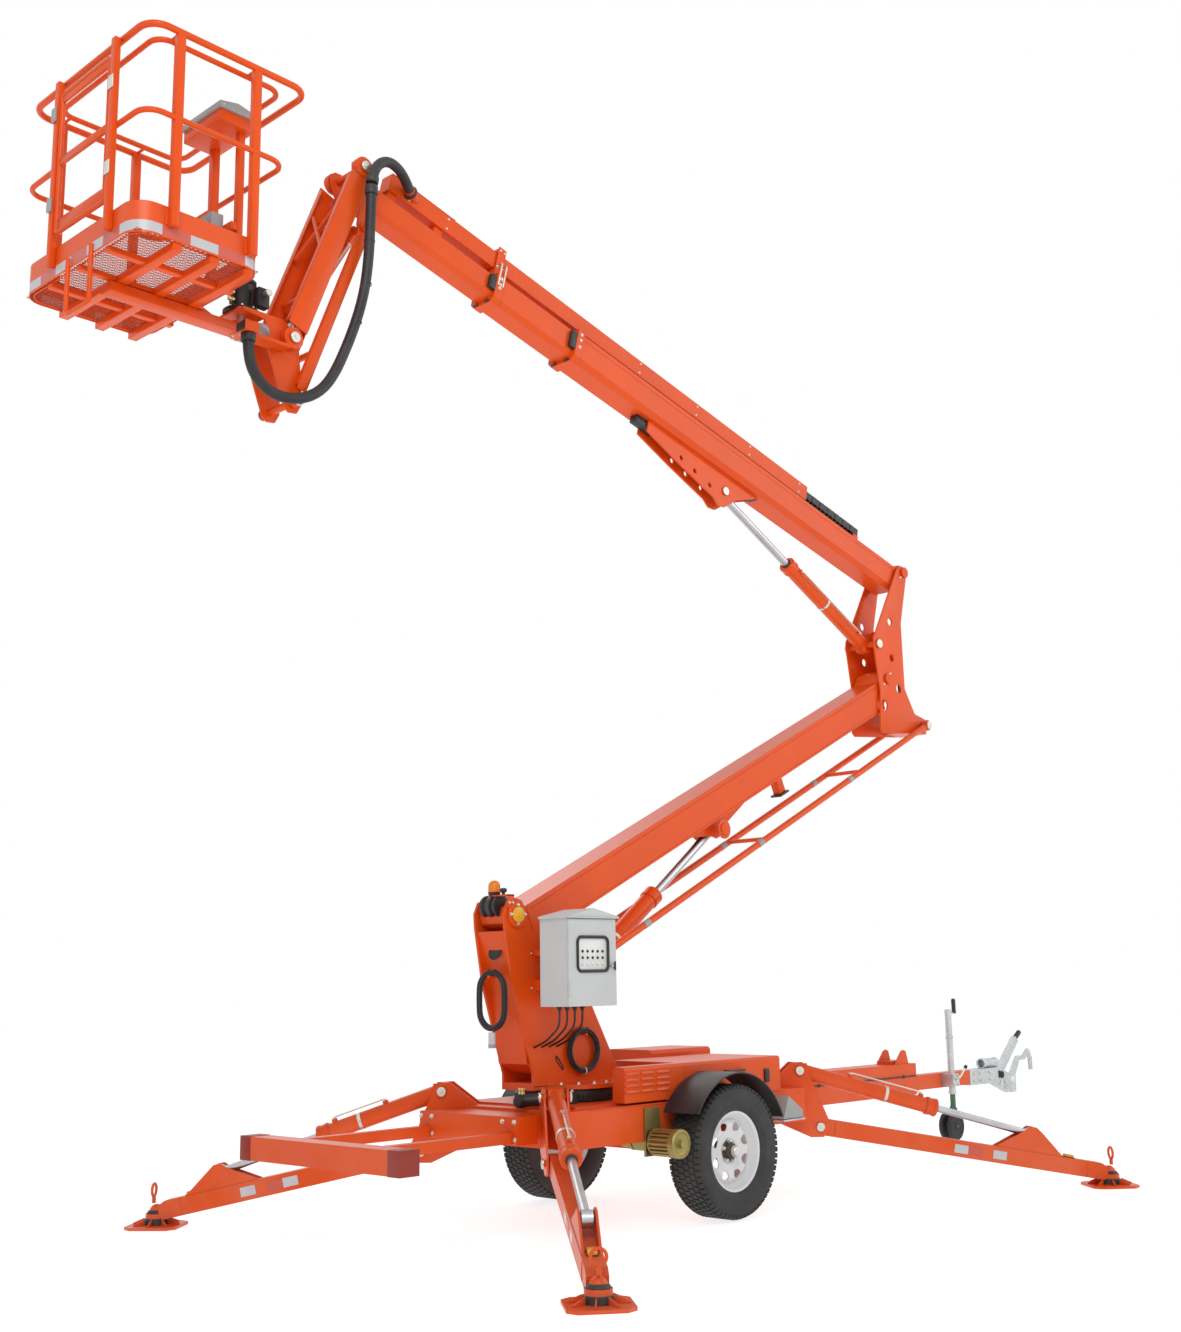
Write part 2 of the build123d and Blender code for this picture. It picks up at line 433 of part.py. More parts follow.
# ------------------------------------------------------------------ outriggers
for where, end in OUTRIGGERS.items():
    for name, way in (("left", 1), ("right", -1)):
        out = (cos(radians(end["turn"])), way * sin(radians(end["turn"])), 0)
        normal = (out[1], -out[0], 0)
        leg_plane = Plane(origin=at(end["x"], way * end["y"], 0), x_dir=out, z_dir=normal)

        def spot(k, z):
            """The point of the part's frame at k, z in this leg's plane."""
            return at(end["x"] + out[0] * k, way * end["y"] + out[1] * k, z)

        drop = atan2(PAD_Z - end["z"], end["ball"])
        along, square = (cos(drop), sin(drop)), (-sin(drop), cos(drop))

        def leg_point(s, t):
            """The leg-plane coordinates at s along the leg and t square to it."""
            return (along[0] * s + square[0] * t, end["z"] + along[1] * s + square[1] * t)

        length = hypot(end["ball"], PAD_Z - end["z"])
        rod_s = end["rk"] * along[0] + (end["rz"] - end["z"]) * along[1]
        rod_t = end["rk"] * square[0] + (end["rz"] - end["z"]) * square[1]
        half = LEG_D / 2
        with BuildPart() as leg:
            outline = [leg_point(s, t) for s, t in (
                (-40, -40), (10, -half), (length - 40, -half), (length - 25, -20), (length - 25, 30),
                (length - 70, half), (10, half), (-40, 40), (-56, 0),
            )]
            with BuildSketch(leg_plane) as profile:
                with BuildLine():
                    Polyline(*outline, close=True)
                make_face()
                with Locations((0, end["z"])):
                    Circle(LEG_PIN_R + FIT, mode=Mode.SUBTRACT)
            extrude(profile.sketch, amount=LEG_W / 2, both=True)
            lug = [leg_point(s, t) for s, t in (
                (rod_s - 230, half - 2), (rod_s - 48, rod_t + 20), (rod_s - 20, rod_t + 46), (rod_s + 20, rod_t + 46),
                (rod_s + 60, rod_t + 18), (rod_s + 210, half - 2),
            )]
            for face in (34, -34 - CLEVIS_T):
                origin = tuple(Vector(*at(end["x"], way * end["y"], 0)) + Vector(*normal) * face)
                plate(Plane(origin=origin, x_dir=out, z_dir=normal), lug, CLEVIS_T)
            ball = Vector(*spot(end["ball"], PAD_Z))
            with Locations(Location(tuple(ball))):
                Sphere(BALL_R)
            pad_plane = Plane(origin=spot(end["ball"], 0), x_dir=out, z_dir=(0, 0, 1))
            with BuildSketch(pad_plane) as pad:
                Rectangle(2 * PAD_HALF, 2 * PAD_HALF)
                chamfer(pad.vertices(), 45)
            extrude(pad.sketch, amount=PAD_T)
            rod(spot(end["ball"], PAD_T), spot(end["ball"], PAD_Z - 8), 62)
        pieces["leg_" + where + "_" + name] = leg

        base, tip = spot(end["uk"], end["uz"]), spot(end["rk"], end["rz"])
        with BuildPart() as barrel:
            cylinder_barrel(base, tip, end["barrel"], LEG_BARREL_R, LEG_ROD_R + FIT, 84, normal)
            reach = Vector(*normal) * (LEG_W / 2 + 1)
            rod(tuple(Vector(*base) - reach), tuple(Vector(*base) + reach), LEG_PIN_R + FIT, Mode.SUBTRACT)
        pieces["leg_barrel_" + where + "_" + name] = barrel
        with BuildPart() as leg_rod:
            cylinder_rod(base, tip, end["rod"], LEG_ROD_R, 40, 54, normal)
        pieces["leg_rod_" + where + "_" + name] = leg_rod

# ------------------------------------------------------------------ turret
TURRET_BASE_Z = RING_Z1 + GAP
turret_outline = (
    (-1040, 1762), (-1060, 1790), (-1107, 1805), (-1165, 1785), (-1195, 1720), (-1190, 1640), (-1134, 1324),
    (-978, 832), (-978, TURRET_BASE_Z), (-270, TURRET_BASE_Z), (-270, 800), (-500, 1200), (-540, 1290),
    (-560, 1440), (-610, 1470), (-690, 1450), (-1000, 1640),
)
with BuildPart() as turret_frame:
    twin_plates(turret_outline, PLATE_Y, PLATE_T)
    rod(at(RING_X, 0, TURRET_BASE_Z), at(RING_X, 0, TURRET_BASE_Z + 24), 300)
    slab(-978, -290, -PLATE_Y, PLATE_Y, TURRET_BASE_Z, TURRET_BASE_Z + 40)
    plate(side(-PLATE_Y), (
        (-1180, 1620), (-1170, 1622), (-1084, 1382), (-1007, 900), (-900, 845), (-900, 835), (-1017, 890), (-1094, 1380),
    ), -2 * PLATE_Y)
    cross_rod(PIN_A, -PLATE_Y - PLATE_T - 14, PLATE_Y + PLATE_T + 14, BIG_PIN_R)
    for way in (-1, 1):
        cross_rod(PIN_D, way * PLATE_Y, way * (LINK_Y + LINK_EYE_T / 2 + 8), LINK_PIN_R)
    cross_rod(PIN_E, -PLATE_Y - PLATE_T - 10, PLATE_Y + PLATE_T + 10, 24)
    slab(-960, -800, CAB_Y1 + GAP, -PLATE_Y - PLATE_T, 1290, 1350)
    slab(-960, -800, CAB_Y1 + GAP, -PLATE_Y - PLATE_T, 1480, 1520)
    # pegs that the cable coils hang on
    peg_z = REAR_COIL["z"] + REAR_COIL["half_h"] - REAR_COIL["r"] - COIL_PEG_R - GAP
    rod(at(-1085, REAR_COIL["y"], peg_z), at(REAR_COIL["x"] - 28, REAR_COIL["y"], peg_z), COIL_PEG_R)
    peg_z = SIDE_COIL["z"] + SIDE_COIL["radius"] - SIDE_COIL["r"] - COIL_PEG_R - GAP
    cross_rod((SIDE_COIL["x"], peg_z), -PLATE_Y - PLATE_T, SIDE_COIL["y"] - 26, COIL_PEG_R)
pieces["turret_frame"] = turret_frame

with BuildPart() as control_cabinet:
    slab(CAB_X0, CAB_X1, CAB_Y0 + CAB_WALL + GAP, CAB_Y1, CAB_Z0, CAB_Z1)
    slab(CAB_X0 + CAB_WALL, CAB_X1 - CAB_WALL, CAB_Y0, CAB_Y1 - CAB_WALL, CAB_Z0 + CAB_WALL, CAB_Z1 - CAB_WALL, Mode.SUBTRACT)
    middle = (CAB_X0 + CAB_X1) / 2
    roof = (
        (CAB_X0 - ROOF_OVER, CAB_Z1), (CAB_X1 + ROOF_OVER, CAB_Z1), (CAB_X1 + ROOF_OVER, CAB_Z1 + 12),
        (middle, CAB_Z1 + ROOF_RISE), (CAB_X0 - ROOF_OVER, CAB_Z1 + 12),
    )
    plate(side(CAB_Y0 - ROOF_OVER), roof, -(CAB_Y1 - CAB_Y0 + ROOF_OVER))
pieces["control_cabinet"] = control_cabinet

with BuildPart() as cabinet_door:
    slab(CAB_X0 + 1, CAB_X1 - 1, CAB_Y0, CAB_Y0 + CAB_WALL, CAB_Z0 + 1, CAB_Z1 - 5)
    slab(CAB_X0 + 75, CAB_X1 - 75, CAB_Y0 - 1, CAB_Y0 + CAB_WALL + 1, 1400, 1570, Mode.SUBTRACT)
    rod(at(CAB_X1 - 40, CAB_Y0 - 14, 1420), at(CAB_X1 - 40, CAB_Y0, 1420), 10)
    for z in (CAB_Z0 + 60, CAB_Z1 - 120):
        rod(at(CAB_X0 + 1, CAB_Y0 - 5, z), at(CAB_X0 + 1, CAB_Y0 - 5, z + 60), DOOR_HINGE_R)
pieces["cabinet_door"] = cabinet_door

with BuildPart() as beacon:
    rod(at(-1150, 0, 1846), at(-1150, 0, 1906), 36)
    rod(at(-1150, 0, 1822), at(-1150, 0, 1846), 20)
    slab(-1175, -1125, -PLATE_Y - PLATE_T, 30, 1812, 1822)
    slab(-1175, -1125, -PLATE_Y - PLATE_T - 10, -PLATE_Y - PLATE_T - GAP, 1745, 1822)
    slab(-1175, -1125, -PLATE_Y - PLATE_T - 10, -PLATE_Y - PLATE_T, 1812, 1822)
pieces["beacon"] = beacon

# ------------------------------------------------------------------ lower boom
low = line_plane(PIN_A, LOW_ANGLE)
low_way = (cos(radians(LOW_ANGLE)), sin(radians(LOW_ANGLE)))
rod_dx, rod_dz = LOW_ROD_PIN[0] - PIN_A[0], LOW_ROD_PIN[1] - PIN_A[1]
rod_s = rod_dx * low_way[0] + rod_dz * low_way[1]
rod_t = -rod_dx * low_way[1] + rod_dz * low_way[0]
BOOM_EYE_R = 68
with BuildPart() as lower_boom:
    boxed(low, LOW_ROOT, LOW_LENGTH - LOW_TIP, LOW_W, LOW_BOTTOM, LOW_TOP)
    boxed(low, LOW_ROOT + 40, LOW_LENGTH - LOW_TIP - 40, LOW_W - 2 * LOW_WALL, LOW_BOTTOM + LOW_WALL, LOW_TOP - LOW_WALL, Mode.SUBTRACT)
    # the slot that lets the cylinder's eye rise into the box
    boxed(low, rod_s - 560, rod_s + 110, 72, LOW_BOTTOM - 1, LOW_BOTTOM + LOW_WALL + 1, Mode.SUBTRACT)
    # root and tip lugs, as (s, t)
    root = ((-30, 60), (-64, 22), (-64, -22), (-30, -62), (LOW_ROOT, -170), (LOW_ROOT, LOW_TOP), (30, 60))
    tip = [(LOW_LENGTH - s, t) for s, t in root]
    for outline, centre in ((root, 0), (tip, LOW_LENGTH)):
        with BuildSketch(low) as lug_face:
            with BuildLine():
                Polyline(*outline, close=True)
            make_face()
        extrude(lug_face.sketch, amount=LOW_W / 2, both=True)
        with BuildSketch(low) as bore:
            with Locations((centre, 0)):
                Circle(BIG_PIN_R + FIT)
        extrude(bore.sketch, amount=LOW_W, both=True, mode=Mode.SUBTRACT)
    # cylinder lug plates under the boom
    lug = (
        (rod_s - 330, LOW_BOTTOM + 2), (rod_s - 60, rod_t - 20), (rod_s - 25, rod_t - 52), (rod_s + 30, rod_t - 52),
        (rod_s + 70, rod_t - 10), (rod_s + 480, LOW_BOTTOM + 2),
    )
    for y in (-36 - CLEVIS_T, 36):
        with BuildSketch(line_plane(PIN_A, LOW_ANGLE, y + CLEVIS_T)) as lug_face:
            with BuildLine():
                Polyline(*lug, close=True)
            make_face()
        extrude(lug_face.sketch, amount=CLEVIS_T)
pieces["lower_boom"] = lower_boom

with BuildPart() as link_rods:
    for way in (-1, 1):
        start, end_point = at(PIN_D[0], way * LINK_Y, PIN_D[1]), at(PIN_C[0], way * LINK_Y, PIN_C[1])
        rod(start, end_point, LINK_R)
        for pin in (PIN_D, PIN_C):
            cross_rod(pin, way * (LINK_Y - LINK_EYE_T / 2), way * (LINK_Y + LINK_EYE_T / 2), LINK_EYE_R)
            cross_rod(pin, way * (LINK_Y - LINK_EYE_T), way * (LINK_Y + LINK_EYE_T), LINK_PIN_R + FIT, Mode.SUBTRACT)
    for s in (2000, 3300):
        middle = polar(PIN_D, LOW_ANGLE, s)
        cross_rod(middle, -LINK_Y, LINK_Y, 14)
pieces["link_rods"] = link_rods

base, tip = at(PIN_E[0], 0, PIN_E[1]), at(LOW_ROD_PIN[0], 0, LOW_ROD_PIN[1])
with BuildPart() as lower_barrel:
    cylinder_barrel(base, tip, LOW_BARREL, LOW_CYL_R, LOW_ROD_R + FIT, 90, ACROSS)
    cross_rod(PIN_E, -80, 80, 24 + FIT, Mode.SUBTRACT)
pieces["lower_barrel"] = lower_barrel
with BuildPart() as lower_rod:
    cylinder_rod(base, tip, LOW_ROD, LOW_ROD_R, EYE_R, EYE_T, ACROSS)
pieces["lower_rod"] = lower_rod

# ------------------------------------------------------------------ knuckle
# knuckle plate outline as (x, z) from pin B
knuckle_outline = (
    (287, 941), (337, 935), (362, 880), (350, 846), (240, 466), (245, -48), (368, -230), (530, -262), (545, -330),
    (500, -372), (-90, -425), (-120, -400), (-95, -95), (-150, 240), (-150, 300), (222, 900),
)
with BuildPart() as knuckle:
    outline = [(PIN_B[0] + x, PIN_B[1] + z) for x, z in knuckle_outline]
    twin_plates(outline, KNUCKLE_Y, KNUCKLE_T)
    for pin, radius in ((PIN_B, BIG_PIN_R), (PIN_K, BIG_PIN_R), (PIN_F, 24)):
        cross_rod(pin, -KNUCKLE_Y - KNUCKLE_T - 12, KNUCKLE_Y + KNUCKLE_T + 12, radius)
    cross_rod(PIN_C, -LINK_Y - LINK_EYE_T / 2 - 8, LINK_Y + LINK_EYE_T / 2 + 8, LINK_PIN_R)
    for x0, x1, z0, z1 in ((225, 241, 20, 440), (300, 540, -372, -355)):
        slab(PIN_B[0] + x0, PIN_B[0] + x1, -KNUCKLE_Y, KNUCKLE_Y, PIN_B[1] + z0, PIN_B[1] + z1)
pieces["knuckle"] = knuckle

with BuildPart() as valve_block:
    slab(PIN_B[0] + 241 + GAP, PIN_B[0] + 330, -80, 80, PIN_B[1] + 60, PIN_B[1] + 300)
pieces["valve_block"] = valve_block

# ------------------------------------------------------------------ upper boom
up = back_plane(PIN_K, UP_ANGLE)


def hex_tube(s0, s1, wide, bottom, top, wall=0, mode=Mode.ADD):
    """A box tube with folded lower corners, hollow when it has a wall; square to plane up."""
    c, n = cos(radians(UP_ANGLE)), sin(radians(UP_ANGLE))
    origin = on_upper(s0, 0)
    face_plane = Plane(origin=at(origin[0], 0, origin[1]), x_dir=(0, 1, 0), z_dir=(-c, 0, n))
    cut = 0.3 * wide / 2
    # this plane's local y points down the boom's t, so t enters with its sign turned
    for inset, step in ((0, mode), (wall, Mode.SUBTRACT)) if wall else ((0, mode),):
        half, low_t, high_t = wide / 2 - inset, bottom + inset, top - inset
        outline = (
            (-half, -high_t), (half, -high_t), (half, -(low_t + cut)), (half - cut, -low_t),
            (-half + cut, -low_t), (-half, -(low_t + cut)),
        )
        with BuildSketch(face_plane) as section:
            with BuildLine():
                Polyline(*outline, close=True)
            make_face()
        extrude(section.sketch, amount=s1 - s0, mode=step)


with BuildPart() as upper_boom:
    hex_tube(OUT_S0, OUT_S1, OUT_W, OUT_BOTTOM, OUT_TOP, OUT_WALL)
    # root: solid lugs round pin K and a closing wall
    root = ((-30, 60), (-64, 22), (-64, -22), (-30, -60), (OUT_S0, -150), (OUT_S0 + 40, -150), (OUT_S0 + 40, OUT_TOP), (30, 60))
    plate(back_plane(PIN_K, UP_ANGLE, -OUT_W / 2), root, OUT_W)
    with BuildSketch(up) as bore:
        Circle(BIG_PIN_R + FIT)
    extrude(bore.sketch, amount=OUT_W, both=True, mode=Mode.SUBTRACT)
    # collar at the open end
    collar_s = OUT_S1 - COLLAR_L
    hex_tube(collar_s, OUT_S1, OUT_W + 2 * COLLAR_T, OUT_BOTTOM - COLLAR_T, OUT_TOP + COLLAR_T)
    hex_tube(
        collar_s - 1, OUT_S1 + 1, MID_W + 2 * GAP, MID_BOTTOM - GAP, MID_TOP + GAP, mode=Mode.SUBTRACT,
    )
    # cylinder bracket under the boom, as (s, t)
    bracket = (
        (1740, OUT_BOTTOM + 1), (1960, -300), (2080, -415), (2150, -430), (2215, -395), (2600, -330), (2940, -262),
        (2940, OUT_BOTTOM + 1),
    )
    holes = ((2260, -330, 18), (2430, -305, 18), (2580, -280, 18))
    for y in (-36 - CLEVIS_T, 36):
        plate(back_plane(PIN_K, UP_ANGLE, y), bracket, CLEVIS_T, holes)
    # chain bracket over the root
    for s0, s1, t0, t1 in ((CHAIN_S0, CHAIN_S0 + 60, OUT_TOP, TRAY_T0 + 30),):
        boxed(up, s0, s1, CHAIN_W, t0, t1)
pieces["upper_boom"] = upper_boom

with BuildPart() as upper_boom_mid:
    hex_tube(MID_S0, MID_S1, MID_W, MID_BOTTOM, MID_TOP, MID_WALL)
    collar_s = MID_S1 - COLLAR_L
    hex_tube(collar_s, MID_S1, MID_W + 2 * MID_COLLAR_T, MID_BOTTOM - MID_COLLAR_T, MID_TOP + MID_COLLAR_T)
    hex_tube(collar_s - 1, MID_S1 + 1, IN_W + 2 * GAP, IN_BOTTOM - GAP, IN_TOP + GAP, mode=Mode.SUBTRACT)
    # rear wear pads that slide in the outer tube
    boxed(up, MID_S0, MID_S0 + PAD_L, PAD_W, MID_TOP - 1, OUT_TOP - OUT_WALL - GAP)
    boxed(up, MID_S0, MID_S0 + PAD_L, PAD_W, OUT_BOTTOM + OUT_WALL + GAP, MID_BOTTOM + 1)
    # roller bracket that carries the hose tray over the collar
    for way in (-1, 1):
        y0 = way * (TRAY_W / 2 + RUN_GAP + 4)
        with BuildSketch(back_plane(PIN_K, UP_ANGLE, y0)) as cheek:
            with Locations((MID_S1 - COLLAR_L / 2, (OUT_TOP + TRAY_T1 + 40) / 2 - 10)):
                Rectangle(COLLAR_L, TRAY_T1 + 40 - OUT_TOP + 20)
        extrude(cheek.sketch, amount=4, both=True)
    boxed(up, MID_S1 - COLLAR_L, MID_S1, TRAY_W + 2 * RUN_GAP + 16, TRAY_T1 + RUN_GAP, TRAY_T1 + 30)
    boxed(up, MID_S1 - COLLAR_L, MID_S1, TRAY_W + 2 * RUN_GAP + 16, MID_TOP + 8, TRAY_T0 - RUN_GAP)
pieces["upper_boom_mid"] = upper_boom_mid

with BuildPart() as upper_boom_inner:
    hex_tube(IN_S0, IN_S1, IN_W, IN_BOTTOM, IN_TOP, IN_WALL)
    boxed(up, IN_S0, IN_S0 + PAD_L, PAD_W, IN_TOP - 1, MID_TOP - MID_WALL - GAP)
    boxed(up, IN_S0, IN_S0 + PAD_L, PAD_W, MID_BOTTOM + MID_WALL + GAP, IN_BOTTOM + 1)
    # lugs at the tip round pin H
    lug = (
        (IN_S1 - 60, IN_TOP - 3), (IN_S1 - 60, IN_BOTTOM + 13), (HEAD_S, HEAD_T - 58), (HEAD_S + 52, HEAD_T - 20),
        (HEAD_S + 52, HEAD_T + 20), (HEAD_S, HEAD_T + 58),
    )
    plate(back_plane(PIN_K, UP_ANGLE, -IN_W / 2 + 2), lug, IN_W - 4, ((HEAD_S, HEAD_T, 25 + FIT),))
    # pads that carry the hose tray
    for s in (IN_S1 - 160, IN_S1 - 520):
        boxed(up, s, s + 60, 60, IN_TOP, TRAY_T0 - GAP)
pieces["upper_boom_inner"] = upper_boom_inner

with BuildPart() as hose_tray:
    boxed(up, TRAY_S0, TRAY_S1, TRAY_W, TRAY_T0, TRAY_T1)
    boxed(up, TRAY_S0 - 1, TRAY_S0 + 3100, TRAY_W - 2 * TRAY_WALL, TRAY_T0 + TRAY_WALL, TRAY_T1 - TRAY_WALL, Mode.SUBTRACT)
    root, mouth = (
        (on_upper(TRAY_S1 - back, TRAY_T1 - down), y) for back, y, down in (GLAND_ROOT, GLAND_MOUTH)
    )
    rod(at(root[0][0], root[1], root[0][1]), at(mouth[0][0], mouth[1], mouth[0][1]), HOSE_R + 4)
pieces["hose_tray"] = hose_tray

with BuildPart() as cable_chain:
    chain_t0 = TRAY_T0 + 30 + GAP
    boxed(up, CHAIN_S0, CHAIN_S1, CHAIN_W, chain_t0, chain_t0 + CHAIN_H)
pieces["cable_chain"] = cable_chain

base, tip = at(PIN_F[0], 0, PIN_F[1]), at(PIN_G[0], 0, PIN_G[1])
with BuildPart() as upper_barrel:
    cylinder_barrel(base, tip, UP_BARREL, UP_CYL_R, UP_ROD_R + FIT, 90, ACROSS)
    cross_rod(PIN_F, -80, 80, 24 + FIT, Mode.SUBTRACT)
pieces["upper_barrel"] = upper_barrel
with BuildPart() as upper_rod:
    cylinder_rod(base, tip, UP_ROD, UP_ROD_R, 36, EYE_T, ACROSS)
pieces["upper_rod"] = upper_rod

# ------------------------------------------------------------------ jib
# side plates of the head as (x, z) from pin H
head_shape = (
    (-76, 152), (-16, 152), (59, 20), (59, -30), (14, -280), (-6, -290), (-51, -280), (-63, -230), (-41, -80),
    (-101, 80), (-101, 130),
)
head_outline = [offset_from(PIN_H, step) for step in head_shape]
with BuildPart() as jib_head:
    twin_plates(head_outline, HEAD_Y, HEAD_PLATE)
    cross_rod(PIN_H, -HEAD_Y - HEAD_PLATE - 4, HEAD_Y + HEAD_PLATE + 4, 25)
    for pin in (PIN_T1, PIN_T2):
        cross_rod(pin, -LANE_Y - LANE_T - 8, LANE_Y + LANE_T + 8, JIB_PIN_R)
pieces["jib_head"] = jib_head


def channel_bar(start, end, wide, y0, y1, pin_r):
    """A flat-sided bar between two pins in one lane, with eyes bored for the pins."""
    angle = degrees(atan2(end[1] - start[1], end[0] - start[0]))
    length = hypot(end[0] - start[0], end[1] - start[1])
    with BuildSketch(line_plane(start, angle, (y0 + y1) / 2)) as face:
        with Locations((length / 2, 0)):
            SlotCenterToCenter(length, wide)
        for s in (0, length):
            with Locations((s, 0)):
                Circle(pin_r, mode=Mode.SUBTRACT)
    extrude(face.sketch, amount=abs(y1 - y0) / 2, both=True)


with BuildPart() as jib_arm:
    for way in (-1, 1):
        channel_bar(PIN_T1, PIN_M, ARM_W, way * LANE_Y, way * (LANE_Y + LANE_T), JIB_PIN_R + FIT)
    brace_s = 330
    arm_angle = degrees(atan2(PIN_M[1] - PIN_T1[1], PIN_M[0] - PIN_T1[0]))
    brace = polar(polar(PIN_T1, arm_angle, brace_s), arm_angle - 90, 32)
    cross_rod(brace, -LANE_Y - 2, LANE_Y + 2, 18)
pieces["jib_arm"] = jib_arm

with BuildPart() as jib_link:
    for way in (-1, 1):
        channel_bar(PIN_T2, PIN_L, LINK_W, way * LANE_Y, way * (LANE_Y + LANE_T), JIB_PIN_R + FIT)
    brace = polar(polar(PIN_T2, arm_angle, 900), arm_angle + 90, 0)
    cross_rod(brace, -LANE_Y - 2, LANE_Y + 2, 18)
pieces["jib_link"] = jib_link

# side plates of the bracket as (x, z) from pin M
kite_shape = (
    (-285, 105), (-285, 92), (-150, 70), (-120, -100), (-20, -370), (10, -395), (60, -390), (88, -340), (88, -270),
    (60, 20), (10, 68), (-40, 105),
)
kite = [offset_from(PIN_M, step) for step in kite_shape]
with BuildPart() as jib_bracket:
    twin_plates(kite, HEAD_Y, HEAD_PLATE)
    for pin in (PIN_M, PIN_L):
        for way in (-1, 1):
            cross_rod(pin, way * HEAD_Y, way * (LANE_Y + LANE_T + 8), JIB_PIN_R)
    cross_rod(PIN_L, -HEAD_Y, HEAD_Y, JIB_PIN_R)
    slab(TURN_X - 70, TURN_X + 100, -HEAD_Y, HEAD_Y, SHELF_Z, SHELF_Z + 13)
    rod(at(TURN_X, 0, SHELF_Z + 13), at(TURN_X, 0, SHELF_Z + 13 + ROTATOR_H), ROTATOR_R)
    rod(at(TURN_X, 0, SHELF_Z - 1), at(TURN_X, 0, SHELF_Z + 120), SHAFT_R + FIT, Mode.SUBTRACT)
    # strip and block that hold the end of the hose bundle
    slab(PIN_M[0] - 285, PIN_M[0] - 45, -185, -HEAD_Y - 2, PIN_M[1] - 80, PIN_M[1] - 60)
    slab(PIN_M[0] - 360, PIN_M[0] - 278, -240, -160, PIN_M[1] - 85, PIN_M[1] - 30)
pieces["jib_bracket"] = jib_bracket

base, tip = at(PIN_T2[0], 0, PIN_T2[1]), at(PIN_M[0], 0, PIN_M[1])
with BuildPart() as jib_barrel:
    cylinder_barrel(base, tip, JIB_BARREL, JIB_CYL_R, JIB_ROD_R + FIT, 60, ACROSS)
    cross_rod(PIN_T2, -60, 60, JIB_PIN_R + FIT, Mode.SUBTRACT)
pieces["jib_barrel"] = jib_barrel
with BuildPart() as jib_rod:
    cylinder_rod(base, tip, JIB_ROD, JIB_ROD_R, 32, 44, ACROSS)
pieces["jib_rod"] = jib_rod

# ------------------------------------------------------------------ basket
floor_middle = (FLOOR_X0 + FLOOR_X1) / 2
with BuildPart() as basket_floor:
    with BuildSketch(Plane(origin=at(floor_middle, 0, SKIRT_Z0))) as shape:
        RectangleRounded(FLOOR_X1 - FLOOR_X0, 2 * FLOOR_HALF, 110)
    extrude(shape.sketch, amount=SKIRT_Z1 - SKIRT_Z0)
    with BuildSketch(Plane(origin=at(floor_middle, 0, SKIRT_Z0 + 8))) as shape:
        RectangleRounded(FLOOR_X1 - FLOOR_X0 - 2 * SKIRT_T, 2 * (FLOOR_HALF - SKIRT_T), 110 - SKIRT_T)
    extrude(shape.sketch, amount=SKIRT_Z1 - SKIRT_Z0, mode=Mode.SUBTRACT)
    # carrying beams under the floor, to the yoke on the rotator's shaft
    slab(FLOOR_X0 + 162, TURN_X, -48, 48, YOKE_Z0, YOKE_Z1)
    for x in (FLOOR_X0 + 222, FLOOR_X1 - 125):
        slab(x, x + 60, -420, 420, YOKE_Z1 - 4, SKIRT_Z0 + 1)
    rod(at(TURN_X, 0, YOKE_Z0), at(TURN_X, 0, YOKE_Z1), 60)
    rod(at(TURN_X, 0, YOKE_Z1), at(TURN_X, 0, SHELF_Z + 110), SHAFT_R)
pieces["basket_floor"] = basket_floor


def rail_loop(x0, x1, half, z, radius, corner):
    """A level loop of tube with rounded corners."""
    middle = (x0 + x1) / 2
    with BuildSketch(Plane(origin=at(middle, 0, z - radius))) as ring:
        RectangleRounded(x1 - x0, 2 * half, corner)
        offset(amount=-2 * radius, mode=Mode.SUBTRACT)
    extrude(ring.sketch, amount=2 * radius)


with BuildPart() as basket_rails:
    rail_loop(RAIL_X0, RAIL_X1, RAIL_HALF, RAIL_Z, RAIL_R, 90)
    rail_loop(RAIL_X0, MID_RAIL_X1, RAIL_HALF, MID_RAIL_Z, MID_RAIL_R, 90)
    hand_half = RAIL_HALF - HAND_RAIL_IN
    rail_loop(RAIL_X0 + HAND_RAIL_IN, RAIL_X1 - HAND_RAIL_IN, hand_half, RAIL_Z, MID_RAIL_R, 70)
    slab(RAIL_X0 - 10, RAIL_X0 + 60, GATE_Y0 - 25, GATE_Y1 + 25, MID_RAIL_Z - 30, MID_RAIL_Z + 30, Mode.SUBTRACT)
    for x, way in ((RAIL_X0 + step, way) for step in POST_IN for way in (-1, 1)):
        y0, y1 = sorted((way * (FLOOR_HALF + GAP), way * (FLOOR_HALF + POST_W)))
        slab(x - POST_W / 2, x + POST_W / 2, y0, y1, SKIRT_Z0 + 60, RAIL_Z)
        cross_rod((x, RAIL_Z), way * (hand_half - MID_RAIL_R), way * (RAIL_HALF - RAIL_R), STUB_R)
    for y in (GATE_Y0 - 40, GATE_Y1 + 40):
        slab(FLOOR_X0 - 34, FLOOR_X0 - GAP, y - 20, y + 20, SKIRT_Z0 + 60, RAIL_Z)
        slab(FLOOR_X0 - 2, FLOOR_X0 + 10, y - 20, y + 20, MID_RAIL_Z - MID_RAIL_R, MID_RAIL_Z + MID_RAIL_R)
    slab(FLOOR_X0 - 34, FLOOR_X0 + 30, GATE_Y0 - 60, GATE_Y1 + 60, RAIL_Z - 12, RAIL_Z + 12)
    # hinge blocks that hold the gate
    for z in (GATE_Z0 + 120, GATE_Z1 - 180):
        slab(FLOOR_X0 - 30, FLOOR_X0 - 4, GATE_Y0 - 24, GATE_Y0 - GATE_R - GAP, z, z + 60)
pieces["basket_rails"] = basket_rails

